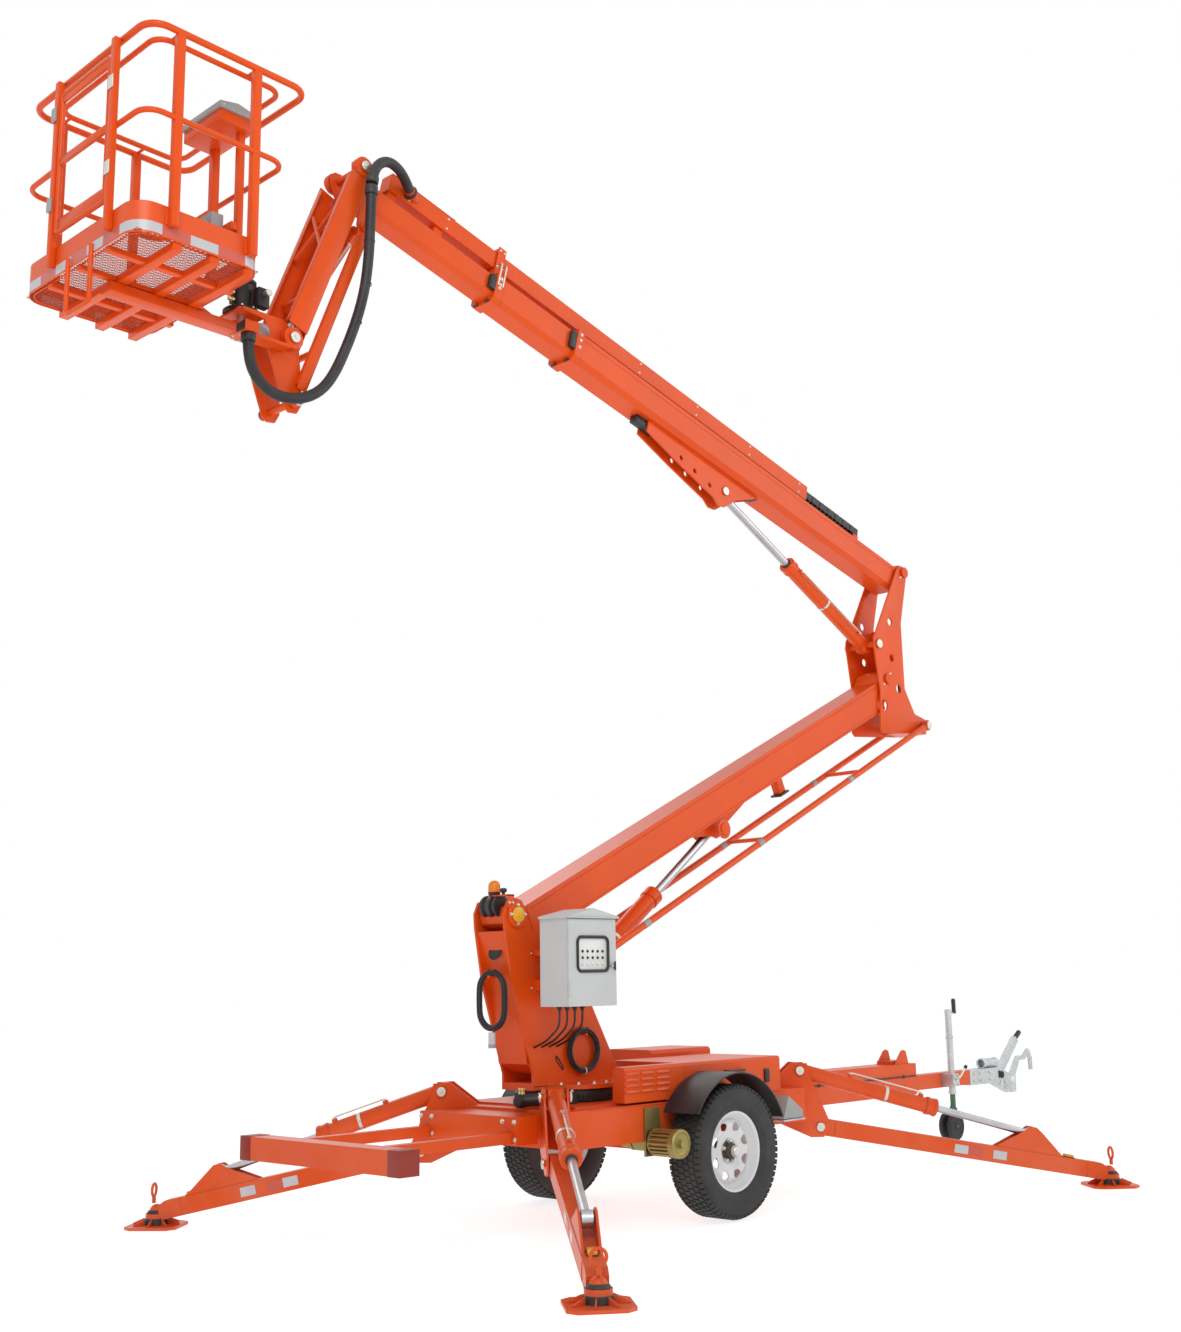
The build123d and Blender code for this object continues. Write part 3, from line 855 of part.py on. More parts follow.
with BuildPart() as basket_gate:
    x = FLOOR_X0 - 17
    for y in (GATE_Y0, GATE_Y1):
        rod(at(x, y, GATE_Z0), at(x, y, GATE_Z1), GATE_R)
    for z in (GATE_Z0, (GATE_Z0 + GATE_Z1) / 2, GATE_Z1):
        rod(at(x, GATE_Y0, z), at(x, GATE_Y1, z), GATE_R - 1)
pieces["basket_gate"] = basket_gate

with BuildPart() as control_box:
    box_x, box_top = FLOOR_X1 + 55, RAIL_Z - BOX_DROP
    slab(box_x - BOX_W, box_x, BOX_Y0, BOX_Y1, box_top - BOX_H, box_top)
    slab(FLOOR_X1 + GAP, FLOOR_X1 + 40, -60, -20, SKIRT_Z1 - 60, box_top - BOX_H)
pieces["control_box"] = control_box

# ------------------------------------------------------------------ cords
def corded(points, radius):
    """A free cord's tube: straight runs joined by tangent arcs as large as the runs allow."""
    spots = [Vector(*at(*point)) for point in points]
    radii = []
    for before, corner, after in zip(spots, spots[1:], spots[2:]):
        arriving, leaving = corner - before, after - corner
        half_turn = radians(arriving.get_angle(leaving)) / 2
        radii.append(0.45 * min(arriving.length, leaving.length) / tan(half_turn))
    print("cord radii in diameters", [round(r / (2 * radius), 1) for r in radii])
    with BuildLine() as route:
        FilletPolyline(*spots, radius=radii)
    with BuildSketch(Plane(origin=spots[0], z_dir=(spots[1] - spots[0]).normalized())) as section:
        Circle(radius)
    tube = sweep(section.sketch, path=route.wire())
    length = route.wire().length
    print("cord length", round(length), "volume over section times length", round(tube.volume / (section.sketch.area * length), 3))


with BuildPart() as hose_elbow:
    corded(ELBOW, HOSE_R)
pieces["hose_elbow"] = hose_elbow
with BuildPart() as jib_hose:
    corded(JIB_HOSE, HOSE_R)
pieces["jib_hose"] = jib_hose

with BuildPart() as coil_rear:
    # a coil hangs in the plane across the machine, as a flat ring with rounded ends
    half_w, half_h, r = REAR_COIL["half_w"], REAR_COIL["half_h"], REAR_COIL["r"]
    facing = Plane(origin=at(REAR_COIL["x"], REAR_COIL["y"], REAR_COIL["z"]), x_dir=(0, 0, 1), z_dir=(1, 0, 0))
    with BuildSketch(facing) as ring:
        SlotOverall(2 * (half_h + r), 2 * (half_w + r))
        SlotOverall(2 * (half_h - r), 2 * (half_w - r), mode=Mode.SUBTRACT)
    extrude(ring.sketch, amount=r, both=True)
pieces["coil_rear"] = coil_rear
with BuildPart() as cable_plug:
    plug_top = REAR_COIL["z"] - half_h - r - GAP
    rod(at(REAR_COIL["x"], REAR_COIL["y"], plug_top - PLUG_H), at(REAR_COIL["x"], REAR_COIL["y"], plug_top), PLUG_R)
pieces["cable_plug"] = cable_plug
with BuildPart() as coil_side:
    with BuildSketch(side(SIDE_COIL["y"])) as ring:
        with Locations((SIDE_COIL["x"], SIDE_COIL["z"])):
            Circle(SIDE_COIL["radius"] + SIDE_COIL["r"])
            Circle(SIDE_COIL["radius"] - SIDE_COIL["r"], mode=Mode.SUBTRACT)
    extrude(ring.sketch, amount=SIDE_COIL["r"], both=True)
pieces["coil_side"] = coil_side

for name, piece in pieces.items():
    piece.part.label = name

os.makedirs("parts", exist_ok=True)
for name, piece in pieces.items():
    export_step(piece.part, "parts/" + name + ".step")
box = Compound(children=[piece.part for piece in pieces.values()]).bounding_box()
print("nodes", len(pieces))
print("box", box.min, box.max)
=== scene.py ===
import json
from math import cos, pi, radians, sin

import bpy
from mathutils import Matrix, Vector


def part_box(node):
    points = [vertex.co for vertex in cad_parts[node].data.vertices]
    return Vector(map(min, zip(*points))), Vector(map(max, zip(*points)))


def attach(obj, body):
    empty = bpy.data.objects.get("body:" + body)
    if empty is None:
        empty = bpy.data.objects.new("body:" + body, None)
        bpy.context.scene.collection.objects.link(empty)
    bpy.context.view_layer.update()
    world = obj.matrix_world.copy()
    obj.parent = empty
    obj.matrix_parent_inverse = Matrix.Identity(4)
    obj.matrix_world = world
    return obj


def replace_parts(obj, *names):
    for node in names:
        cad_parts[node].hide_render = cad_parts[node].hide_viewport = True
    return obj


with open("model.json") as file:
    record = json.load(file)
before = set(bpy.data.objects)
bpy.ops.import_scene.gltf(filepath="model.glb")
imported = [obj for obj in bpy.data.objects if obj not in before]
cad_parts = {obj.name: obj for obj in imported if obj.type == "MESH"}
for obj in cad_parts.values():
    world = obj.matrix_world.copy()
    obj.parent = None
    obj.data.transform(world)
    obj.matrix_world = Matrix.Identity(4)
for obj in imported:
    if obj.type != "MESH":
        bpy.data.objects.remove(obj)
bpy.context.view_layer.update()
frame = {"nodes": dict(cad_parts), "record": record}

NODES = frame["nodes"]
SIDES = (-1, 1)
NAMED_SIDES = (("left", 1), ("right", -1))
X_WAY, Y_WAY, Z_WAY = Vector((1, 0, 0)), Vector((0, 1, 0)), Vector((0, 0, 1))


def lies(node):
    low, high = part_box(node)
    return Vector(low), Vector(high)


# the ground under the wheel axle, from which the places below are measured
GROUND = X_WAY * ((lies("tyre_left")[0].x + lies("tyre_left")[1].x) / 2)


def here(x, y, z):
    """A point given in metres from the wheel axle, above the ground."""
    return GROUND + Vector((x, y, z))


def set_place(point):
    """A vector stays as it is, and three plain numbers are taken from the axle."""
    return point if isinstance(point, Vector) else here(*point)


def span(way, first, second):
    """A range across the machine, on the side that way names, low end first."""
    return sorted((way * first, way * second))


def about(middle, half):
    return middle - half, middle + half


def circle(centre, radius, angles, up=Z_WAY):
    """Places round a centre at angles in degrees, from X toward up."""
    return [set_place(centre) + (X_WAY * cos(radians(a)) + up * sin(radians(a))) * radius for a in angles]


def mm(*pairs):
    """Pairs given in millimetres, in metres."""
    return tuple((first / 1000, second / 1000) for first, second in pairs)


def disc(radius, height):
    return (0, 0), (radius, 0), (radius, height), (0, height)


def ring(inner, outer, height, shut=False):
    """The profile of a hoop; shut closes its bore."""
    profile = (inner, 0), (outer, 0), (outer, height), (inner, height)
    return profile + profile[:1] if shut else profile


# ---------------------------------------------------------------- finishes
class Wire:
    """A shader socket that grows Math nodes as it is used in sums."""

    def __init__(self, finish, socket):
        self.finish, self.socket = finish, socket

    def _math(self, kind, *terms, clamp=False):
        node = self.finish.tree.nodes.new("ShaderNodeMath")
        node.operation, node.use_clamp = kind, clamp
        for entry, term in zip(node.inputs, terms):
            self.finish.feed(entry, term)
        return Wire(self.finish, node.outputs[0])

    def __add__(self, other): return self._math("ADD", self, other)
    def __radd__(self, other): return self._math("ADD", other, self)
    def __sub__(self, other): return self._math("SUBTRACT", self, other)
    def __rsub__(self, other): return self._math("SUBTRACT", other, self)
    def __mul__(self, other): return self._math("MULTIPLY", self, other)
    def __truediv__(self, other): return self._math("DIVIDE", self, other)
    def __gt__(self, other): return self._math("GREATER_THAN", self, other)
    def __lt__(self, other): return self._math("LESS_THAN", self, other)
    def __mod__(self, other): return self._math("FLOORED_MODULO", self, other)
    def held(self): return self._math("ADD", self, 0.0, clamp=True)

    def ramp(self, low, high):
        """0 below low, 1 above high, and straight between them."""
        return ((self - low) / (high - low)).held()


class Finish:
    """A material and the short ways to wire it."""

    def __init__(self, name, **plain):
        self.material = bpy.data.materials.new(name)
        self.material.use_nodes = True
        self.tree = self.material.node_tree
        self.shader = self.tree.nodes["Principled BSDF"]
        for socket, value in plain.items():
            self.shader.inputs[socket.replace("_", " ")].default_value = value
        self._place = None

    def feed(self, entry, value):
        if isinstance(value, Wire):
            self.tree.links.new(value.socket, entry)
        elif value is not None:
            entry.default_value = value

    def node(self, kind, settings=None, out=0, **inputs):
        node = self.tree.nodes.new("ShaderNode" + kind)
        for setting, value in (settings or {}).items():
            setattr(node, setting, value)
        for entry, value in inputs.items():
            key = int(entry[1:]) if entry[1:].isdigit() else entry.replace("_", " ")
            self.feed(node.inputs[key], value)
        return Wire(self, node.outputs[out])

    @property
    def place(self):
        if self._place is None:
            self._place = self.node("TexCoord", out="Object")
        return self._place

    def axes(self):
        split = self.node("SeparateXYZ", _0=self.place).socket.node
        return [Wire(self, out) for out in split.outputs]

    def noise(self, scale, detail=3.0, rough=0.55):
        return self.node("TexNoise", Vector=self.place, Scale=scale, Detail=detail, Roughness=rough)

    def blend(self, mask, first, second):
        node = self.tree.nodes.new("ShaderNodeMix")
        node.data_type = "RGBA"
        self.feed(node.inputs["Factor"], mask)
        self.feed(node.inputs[6], first)
        self.feed(node.inputs[7], second)
        return Wire(self, node.outputs[2])

    def bump(self, height, depth, strength, over):
        return self.node("Bump", Height=height, Distance=depth, Strength=strength, Normal=over)

    def set(self, **sockets):
        for socket, value in sockets.items():
            self.feed(self.shader.inputs[socket.replace("_", " ")], value)
        return self.material


def tint(colour, by):
    return tuple(min(1.0, part * by) for part in colour[:3]) + (1.0,)


def rounded_edges(finish, radius=0.004):
    """Rounded-looking arrises, and a mask of where they are."""
    soft = finish.node("Bevel", {"samples": 4}, Radius=radius)
    true = finish.node("NewGeometry", out="Normal")
    meet = finish.node("VectorMath", {"operation": "DOT_PRODUCT"}, out="Value", _0=soft, _1=true)
    return soft, (1 - meet).ramp(0.02, 0.25)


def cloudy(finish, cloud, colour, darker, lighter):
    """A colour that drifts a little from place to place."""
    return finish.blend(cloud.ramp(0.3, 0.7), tint(colour, darker), tint(colour, lighter))


def paint(name, colour, rough=0.36, coat=0.10, wear=0.4, dust=0.25, arris=0.004, peel=0.12):
    """Sprayed paint over steel: orange peel, faint cloudiness, dusty low parts, rubbed arrises."""
    finish = Finish(name, Specular_IOR_Level=0.22, Coat_Roughness=0.2, Coat_Weight=coat)
    soft, arrises = rounded_edges(finish, arris)
    cloud, grain, speck = finish.noise(2.3, 4.0), finish.noise(55, 3.0), finish.noise(310, 2.0)
    rubbed = arrises * grain.ramp(0.50, 0.62) * wear
    low = (1 - finish.axes()[2].ramp(0.05, 0.9)) * cloud.ramp(0.35, 0.7) * dust
    dusty = finish.blend(low, cloudy(finish, cloud, colour, 0.93, 1.06), (0.42, 0.33, 0.25, 1.0))
    uneven = grain * 0.10 + cloud * 0.08
    return finish.set(
        Base_Color=finish.blend(rubbed, dusty, tint(colour, 0.42)),
        Roughness=(rough - 0.09 + uneven + low * 0.4 + rubbed * 0.2).held(),
        Normal=finish.bump(speck * 0.4 + grain, 0.0006, peel, soft),
    )


def metal(name, colour, rough=0.3, spangle=0.0):
    """Bare or zinc-coated steel, with spangle over it where it is galvanised."""
    finish = Finish(name, Metallic=1.0)
    soft = rounded_edges(finish, 0.0025)[0]
    grain, cloud = finish.noise(120, 3.0), finish.noise(9, 4.0)
    tone = cloudy(finish, cloud, colour, 0.86, 1.05)
    if spangle:
        cells = finish.node("TexVoronoi", {"feature": "F1"}, out="Color", Vector=finish.place, Scale=90)
        tone = finish.blend(finish.node("SeparateXYZ", _0=cells) * spangle, tone, tint(colour, 0.62))
    return finish.set(
        Base_Color=tone,
        Roughness=(rough - 0.06 + grain * 0.12 + cloud * 0.1).held(),
        Normal=finish.bump(grain, 0.0003, 0.25, soft),
    )


def moulded(name, colour, rough=0.55, grain_size=420, depth=0.0004, dust=0.2, arris=0.003):
    """Rubber or plastic with a fine pebbled skin, a little dust and a painted highlight along its arrises."""
    finish = Finish(name, Specular_IOR_Level=0.4)
    soft, arrises = rounded_edges(finish, arris)
    pebble, cloud = finish.noise(grain_size, 2.0), finish.noise(6, 4.0)
    dusty = cloud.ramp(0.45, 0.75) * dust
    # painted highlight: every arris is painted lighter (colour × 2.2), as if its edges caught the light
    base = finish.blend(arrises * 0.5, tint(colour, 1.0), tint(colour, 2.2))
    return finish.set(
        Base_Color=finish.blend(dusty, base, (0.16, 0.145, 0.13, 1.0)),
        Roughness=(rough - 0.05 + pebble * 0.1 + dusty * 0.4).held(),
        Normal=finish.bump(pebble, depth, 0.35, soft),
    )


def reflective(name, first, second, pitch, paint_colour, low, high):
    """Paint with a band of reflective tape in two colours between two heights."""
    finish = Finish(name, Specular_IOR_Level=0.5)
    soft = rounded_edges(finish)[0]
    x, y, z = finish.axes()
    band = (z > low) * (z < high)
    turn = (x + y + 40.0) % pitch > pitch * 0.5
    prism = finish.node("TexVoronoi", {"feature": "DISTANCE_TO_EDGE"}, Vector=finish.place, Scale=170)
    cell = prism.ramp(0.0, 0.12) * 0.25 + 0.75
    cloud = finish.noise(2.3, 4.0)
    body = cloudy(finish, cloud, paint_colour, 0.93, 1.06)
    tape = finish.blend(cell, tint(first, 0.55), finish.blend(turn, first, second))
    return finish.set(
        Base_Color=finish.blend(band, body, tape),
        Roughness=0.34 + cloud * 0.1 - band * 0.1,
        Normal=finish.bump(band + cell * 0.15 * band, 0.0006, 0.5, soft),
    )


ORANGE = (0.76, 0.082, 0.005)
SILVER, RED = (0.56, 0.56, 0.58, 1.0), (0.62, 0.10, 0.06, 1.0)
orange = paint("orange_enamel", ORANGE)
black_paint = paint("black_enamel", (0.018, 0.018, 0.019), rough=0.42, wear=0.2)
grey_paint = paint("cabinet_grey_powder_coat", (0.58, 0.60, 0.595), rough=0.45, coat=0.1, wear=0.1, peel=0.3)
white_paint = paint("rim_white_enamel", (0.74, 0.75, 0.76), rough=0.35, wear=0.3)
green_paint = paint("fork_green_enamel", (0.035, 0.16, 0.075), rough=0.4)
dark_red = paint("beam_end_dark_red", (0.28, 0.020, 0.012), rough=0.5)
galvanised = metal("galvanised_steel", (0.62, 0.64, 0.65), rough=0.42, spangle=0.55)
zinc = metal("zinc_plated_bolts", (0.66, 0.64, 0.58), rough=0.32)
chrome = metal("ground_chrome_rod", (0.50, 0.51, 0.53), rough=0.30)
olive = metal("olive_gold_casting", (0.33, 0.27, 0.10), rough=0.42)
brass = metal("brass_fittings", (0.72, 0.52, 0.22), rough=0.3)
rubber = moulded("tyre_rubber", (0.022, 0.022, 0.023), rough=0.66, depth=0.0007)
hose_skin = moulded("hose_rubber", (0.016, 0.016, 0.018), rough=0.48, grain_size=260)
black_plastic = moulded("black_moulded_plastic", (0.020, 0.020, 0.021), rough=0.42)
grey_plastic = moulded("grey_moulded_plastic", (0.36, 0.37, 0.37), rough=0.5)
beige_plastic = moulded("beige_chain_plastic", (0.60, 0.55, 0.42), rough=0.5)
yellow_plastic = moulded("yellow_lamp_plastic", (0.85, 0.42, 0.02), rough=0.3)
amber = moulded("amber_lens", (0.88, 0.22, 0.01), rough=0.18)
white_panel = moulded("pale_panel_plastic", (0.80, 0.80, 0.78), rough=0.35)
tape_silver = moulded("silver_tape", SILVER, rough=0.25, grain_size=600)
tape_red = moulded("red_tape", RED, rough=0.3, grain_size=600)
skirt_paint = reflective("toe_board_paint_and_tape", SILVER, RED, 0.30, ORANGE, 4.752, 4.802)

FINISH_OF_SLOT = {
    "orange_paint": orange, "black_paint": black_paint, "grey_paint": grey_paint, "white_paint": white_paint,
    "green_paint": green_paint, "galvanised": galvanised, "rod_chrome": chrome, "tyre_rubber": rubber,
    "black_rubber": rubber, "black_plastic": black_plastic, "olive_metal": olive, "amber_plastic": amber,
}
for part in frame["record"]["subparts"]:
    for holder in NODES[part["node"]].material_slots:
        holder.material = FINISH_OF_SLOT[part["material_slot"]]


# ---------------------------------------------------------------- shaping tools
def clear_choice():
    bpy.ops.object.select_all(action="DESELECT")


def edit(piece):
    """Opens a piece with all of it selected."""
    bpy.context.view_layer.objects.active = piece
    bpy.ops.object.mode_set(mode="EDIT")
    bpy.ops.mesh.select_all(action="SELECT")


def leave():
    bpy.ops.object.mode_set(mode="OBJECT")


def face_out():
    bpy.ops.mesh.select_all(action="SELECT")
    bpy.ops.mesh.normals_make_consistent(inside=False)


def fix_place():
    bpy.ops.object.transform_apply(location=True, rotation=True, scale=True)


def extrude(vector):
    bpy.ops.mesh.extrude_region_move(TRANSFORM_OT_translate={"value": vector})


def run(modifier, piece, **settings):
    """Adds a modifier and applies it."""
    added = piece.modifiers.new(modifier.lower(), modifier)
    for setting, value in settings.items():
        setattr(added, setting, value)
    bpy.context.view_layer.objects.active = piece
    bpy.ops.object.modifier_apply(modifier=added.name)


def cut(piece, cutter):
    run("BOOLEAN", piece, operation="DIFFERENCE", object=cutter, solver="EXACT")
    bpy.data.objects.remove(cutter)


def loop_of(corners, fill="NOTHING"):
    """A loop of edges, or one face, through the corners."""
    clear_choice()
    bpy.ops.mesh.primitive_circle_add(vertices=len(corners), radius=1, fill_type=fill)
    piece = bpy.context.object
    for corner, spot in zip(piece.data.vertices, corners):
        corner.co = spot
    return piece


def wire_line(points, closed=False):
    """A single vertex drawn out from point to point."""
    clear_choice()
    bpy.ops.mesh.primitive_circle_add(vertices=3, radius=0.001)
    piece = bpy.context.object
    edit(piece)
    bpy.ops.mesh.merge(type="CENTER")
    leave()
    piece.data.vertices[0].co = points[0]
    edit(piece)
    for first, second in zip(points, points[1:]):
        extrude(Vector(second) - Vector(first))
    if closed:
        extrude(Vector(points[0]) - Vector(points[-1]))
        bpy.ops.mesh.select_all(action="SELECT")
        bpy.ops.mesh.remove_doubles(threshold=0.0001)
    leave()
    return piece


def as_pipe(piece, radius, sides, capped):
    """A line of edges made a round tube."""
    piece.select_set(True)
    bpy.ops.object.convert(target="CURVE")
    data = bpy.context.object.data
    data.bevel_depth, data.bevel_resolution, data.use_fill_caps = radius, sides, capped
    bpy.ops.object.convert(target="MESH")
    return bpy.context.object


def joined(pieces, name, choose=False):
    """Several like pieces made one."""
    clear_choice()
    for piece in pieces:
        piece.select_set(True)
    bpy.context.view_layer.objects.active = pieces[0]
    bpy.ops.object.join()
    pieces[0].name = name
    clear_choice()
    if choose:
        bpy.context.view_layer.objects.active = pieces[0]
        pieces[0].select_set(True)
    return pieces[0]


def copied(first, places):
    """A free copy of a piece at each transform; the first is used up."""
    copies = []
    for spot in places:
        copy = first.copy()
        copy.data = first.data.copy()
        bpy.context.scene.collection.objects.link(copy)
        copy.data.transform(spot)
        copies.append(copy)
    bpy.data.objects.remove(first)
    return copies


def turn_onto(axis):
    return Z_WAY.rotation_difference(Vector(axis).normalized()).to_matrix().to_4x4()


class On:
    """Makes pieces that ride on one body."""

    def __init__(self, body):
        self.body = body

    def done(self, name, finish, smooth=32, slot=None):
        """The active piece gets its place in its mesh, its name, its finish and its body."""
        piece = bpy.context.view_layer.objects.active
        fix_place()
        if smooth:
            bpy.ops.object.shade_smooth_by_angle(angle=radians(smooth))
        piece.name = name
        piece.data.name = name
        piece.data.materials.clear()
        piece.data.materials.append(finish)
        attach(piece, self.body)
        clear_choice()
        return piece

    def block(self, name, x, y, z, edge=0.003, finish=orange, base=GROUND):
        """A block with rounded arrises between pairs of x, y and z."""
        clear_choice()
        low, high = (base + Vector(end) for end in zip(x, y, z))
        bpy.ops.mesh.primitive_cube_add(size=1, location=(low + high) / 2, scale=high - low)
        fix_place()
        edit(bpy.context.object)
        bpy.ops.mesh.bevel(offset=edge, segments=2, affect="EDGES")
        leave()
        return self.done(name, finish)

    def sheet(self, name, corners, thick, edge=0.0015, finish=orange, slot=None):
        """A flat outline drawn out by a vector, with its arrises broken."""
        edit(loop_of([set_place(corner) for corner in corners], "NGON"))
        extrude(thick)
        face_out()
        if edge:
            bpy.ops.mesh.bevel(offset=edge, segments=2, affect="EDGES")
        leave()
        return self.done(name, finish, slot=slot)

    def plate(self, name, outline, y, thick, edge=0.0015, finish=orange, slot=None, base=GROUND):
        """A plate of outline (x, z) that stands from y by a thickness."""
        corners = [base + Vector((x, y, z)) for x, z in outline]
        return self.sheet(name, corners, (0, thick, 0), edge, finish, slot)

    def tube(self, name, points, radius, corner=0.05, finish=orange, closed=False, sides=3, bends=6, slot=None):
        """A bent round tube along points, with its corners rounded."""
        piece = wire_line([set_place(point) for point in points], closed)
        edit(piece)
        if corner and len(points) > 2:
            bpy.ops.mesh.bevel(offset=corner, segments=bends, affect="VERTICES", clamp_overlap=True)
        leave()
        edit(as_pipe(piece, radius, sides, not closed))
        bpy.ops.mesh.remove_doubles(threshold=0.00002)
        face_out()
        leave()
        return self.done(name, finish, 50, slot)

    def lathe(self, name, profile, centre, axis, finish=orange, steps=40, smooth=35):
        """A profile of (radius, height) pairs spun round an axis."""
        centre, axis = set_place(centre), Vector(axis).normalized()
        across = axis.orthogonal().normalized()
        edit(wire_line([centre + across * r + axis * h for r, h in profile]))
        bpy.ops.mesh.spin(steps=steps, angle=2 * pi, center=centre, axis=axis)
        bpy.ops.mesh.select_all(action="SELECT")
        bpy.ops.mesh.remove_doubles(threshold=0.00005)
        face_out()
        leave()
        return self.done(name, finish, smooth)

    def bolts(self, name, spots, axis, radius, finish=None, head=0.6):
        """Hexagon heads on washers, modelled once and copied to each spot, standing along the axis."""
        clear_choice()
        tall = head * radius
        bpy.ops.mesh.primitive_cylinder_add(vertices=6, radius=radius, depth=tall * 2, location=(0, 0, tall))
        first = bpy.context.object
        fix_place()
        edit(first)
        bpy.ops.mesh.bevel(offset=radius * 0.12, segments=2, affect="EDGES")
        leave()
        bpy.ops.mesh.primitive_cylinder_add(
            vertices=20, radius=radius * 1.35, depth=radius * 0.3, location=(0, 0, radius * 0.15)
        )
        ring = bpy.context.object
        fix_place()
        first = joined([first, ring], name)
        turn = turn_onto(axis)
        joined(copied(first, [Matrix.Translation(set_place(spot)) @ turn for spot in spots]), name, True)
        return self.done(name, finish or zinc)

    def pin_cap(self, name, centre, axis, radius, finish=orange):
        """The turned end of a pivot pin."""
        profile = (
            (0, 0.014), (radius * 0.25, 0.014), (radius * 0.3, 0.011), (radius * 0.9, 0.011),
            (radius, 0.008), (radius, 0), (0, 0),
        )
        return self.lathe(name, profile, centre, axis, finish, 28)

    def both_ends(self, name, pin, y, radius, finish=orange):
        """A cap on each end of a pin across the machine."""
        caps = [self.pin_cap("cap", pin + Y_WAY * way * y, Y_WAY * way, radius, finish) for way in SIDES]
        return joined(caps, name)

    def weld(self, name, start, end, radius=0.0035):
        """A weld bead laid in ripples along a line."""
        start, end = set_place(start), set_place(end)
        count = max(2, round((end - start).length / 0.006))
        piece = wire_line([start, end])
        edit(piece)
        bpy.ops.mesh.subdivide(number_cuts=count - 1)
        leave()
        for corner in piece.data.vertices:
            along = (corner.co - start).length / (end - start).length * count
            corner.co += Z_WAY * radius * 0.25 * sin(along * pi)
        as_pipe(piece, radius, 1, True)
        return self.done(name, orange, 60)

    def couplings(self, name, start, end):
        """A pair of pipe couplings in line."""
        start = set_place(start)
        profile = mm((0, 0), (10, 0), (12, 4), (12, 14), (8, 16), (8, 22), (12, 24), (12, 36), (0, 38))
        return self.lathe(name, profile, start, set_place(end) - start, brass, 6, 20)


# ---------------------------------------------------------------- bodies
basket, gate = On("basket"), On("basket_gate")
jib_bracket, jib_arm, jib_link, jib_head = On("jib_bracket"), On("jib_arm"), On("jib_link"), On("jib_head")
upper, upper_mid, upper_inner = On("upper_boom"), On("upper_boom_mid"), On("upper_boom_inner")
knuckle, lower, link_rods = On("knuckle"), On("lower_boom"), On("link_rods")
turret, door, chassis, jockey_wheels = On("turret"), On("cabinet_door"), On("chassis"), On("jockey_wheels")

# ---------------------------------------------------------------- camera and light
SIGHT_YAW, SIGHT_PITCH, SIGHT_ROLL = radians(43.53), radians(11.24), radians(-0.94)
sight = Vector((cos(SIGHT_YAW) * cos(SIGHT_PITCH), sin(SIGHT_YAW) * cos(SIGHT_PITCH), sin(SIGHT_PITCH)))
level = Vector((sin(SIGHT_YAW), -cos(SIGHT_YAW), 0))
rise = level.cross(sight)
right = level * cos(SIGHT_ROLL) + rise * sin(SIGHT_ROLL)
upward = rise * cos(SIGHT_ROLL) - level * sin(SIGHT_ROLL)
eye = bpy.data.cameras.new("sight")
eye.sensor_fit, eye.sensor_height, eye.sensor_width = "VERTICAL", 36, 36
eye.lens = 42.18
camera = bpy.data.objects.new("sight", eye)
bpy.context.scene.collection.objects.link(camera)
turn = Matrix((right, upward, -sight)).transposed().to_4x4()
camera.matrix_world = Matrix.Translation(here(-7.218, -6.544, 1.365)) @ turn
bpy.context.scene.camera = camera
bpy.context.scene.view_settings.view_transform = "Standard"

world = bpy.data.worlds.new("studio")
bpy.context.scene.world = world
world.use_nodes = True
air = world.node_tree
sky = air.nodes["Background"]
sky.inputs["Color"].default_value = (0.93, 0.96, 1.0, 1.0)
sky.inputs["Strength"].default_value = 0.42
seen = air.nodes.new("ShaderNodeBackground")
seen.inputs["Color"].default_value = (1, 1, 1, 1)
path = air.nodes.new("ShaderNodeLightPath")
either = air.nodes.new("ShaderNodeMath")
either.operation = "MAXIMUM"
swap = air.nodes.new("ShaderNodeMixShader")
for start, end in (
    (path.outputs["Is Camera Ray"], either.inputs[0]), (path.outputs["Is Glossy Ray"], either.inputs[1]),
    (either.outputs[0], swap.inputs[0]), (sky.outputs[0], swap.inputs[1]), (seen.outputs[0], swap.inputs[2]),
    (swap.outputs[0], air.nodes["World Output"].inputs[0]),
):
    air.links.new(start, end)


def lamp(name, place, power, colour=(1, 1, 1), aim=here(-0.2, 0, 2.6), size=7.0):
    """A square lamp that looks at the middle of the machine."""
    data = bpy.data.lights.new(name, "AREA")
    data.shape, data.size, data.energy, data.color = "SQUARE", size, power, colour
    light = bpy.data.objects.new(name, data)
    bpy.context.scene.collection.objects.link(light)
    light.matrix_world = Matrix.Translation(place) @ turn_onto(place - aim)


lamp("key_lamp", here(-9.5, -9.0, 11.0), 720, (1.0, 0.98, 0.95))
lamp("side_lamp", here(8.0, -9.0, 7.0), 300)
lamp("back_lamp", here(3.0, 10.0, 9.0), 260)

clear_choice()
bpy.ops.mesh.primitive_plane_add(size=80, location=(0, 0, -0.001))
floor = bpy.context.object
floor.name = "studio_floor"
ground = Finish("pale_floor", Base_Color=(0.86, 0.86, 0.86, 1.0), Roughness=0.8)
glow = ground.tree.nodes.new("ShaderNodeEmission")
ground_mix = ground.tree.nodes.new("ShaderNodeMixShader")
ground_mix.inputs[0].default_value = 0.5
glow.inputs["Strength"].default_value = 1.62
ground.tree.links.new(ground.shader.outputs[0], ground_mix.inputs[1])
ground.tree.links.new(glow.outputs[0], ground_mix.inputs[2])
ground.tree.links.new(ground_mix.outputs[0], ground.tree.nodes["Material Output"].inputs[0])
floor.data.materials.append(ground.material)
clear_choice()

# ---------------------------------------------------------------- basket
RAIL_TOP, RAIL_MIDDLE = 5.79, 5.34
POST_FOOT, GATE_X, TURN_X = 4.80, -3.879, -2.93
MIDDLE_LINE = mm((-3858, -305), (-3852, -578), (-3074, -578), (-3074, 578), (-3852, 578), (-3858, 205))


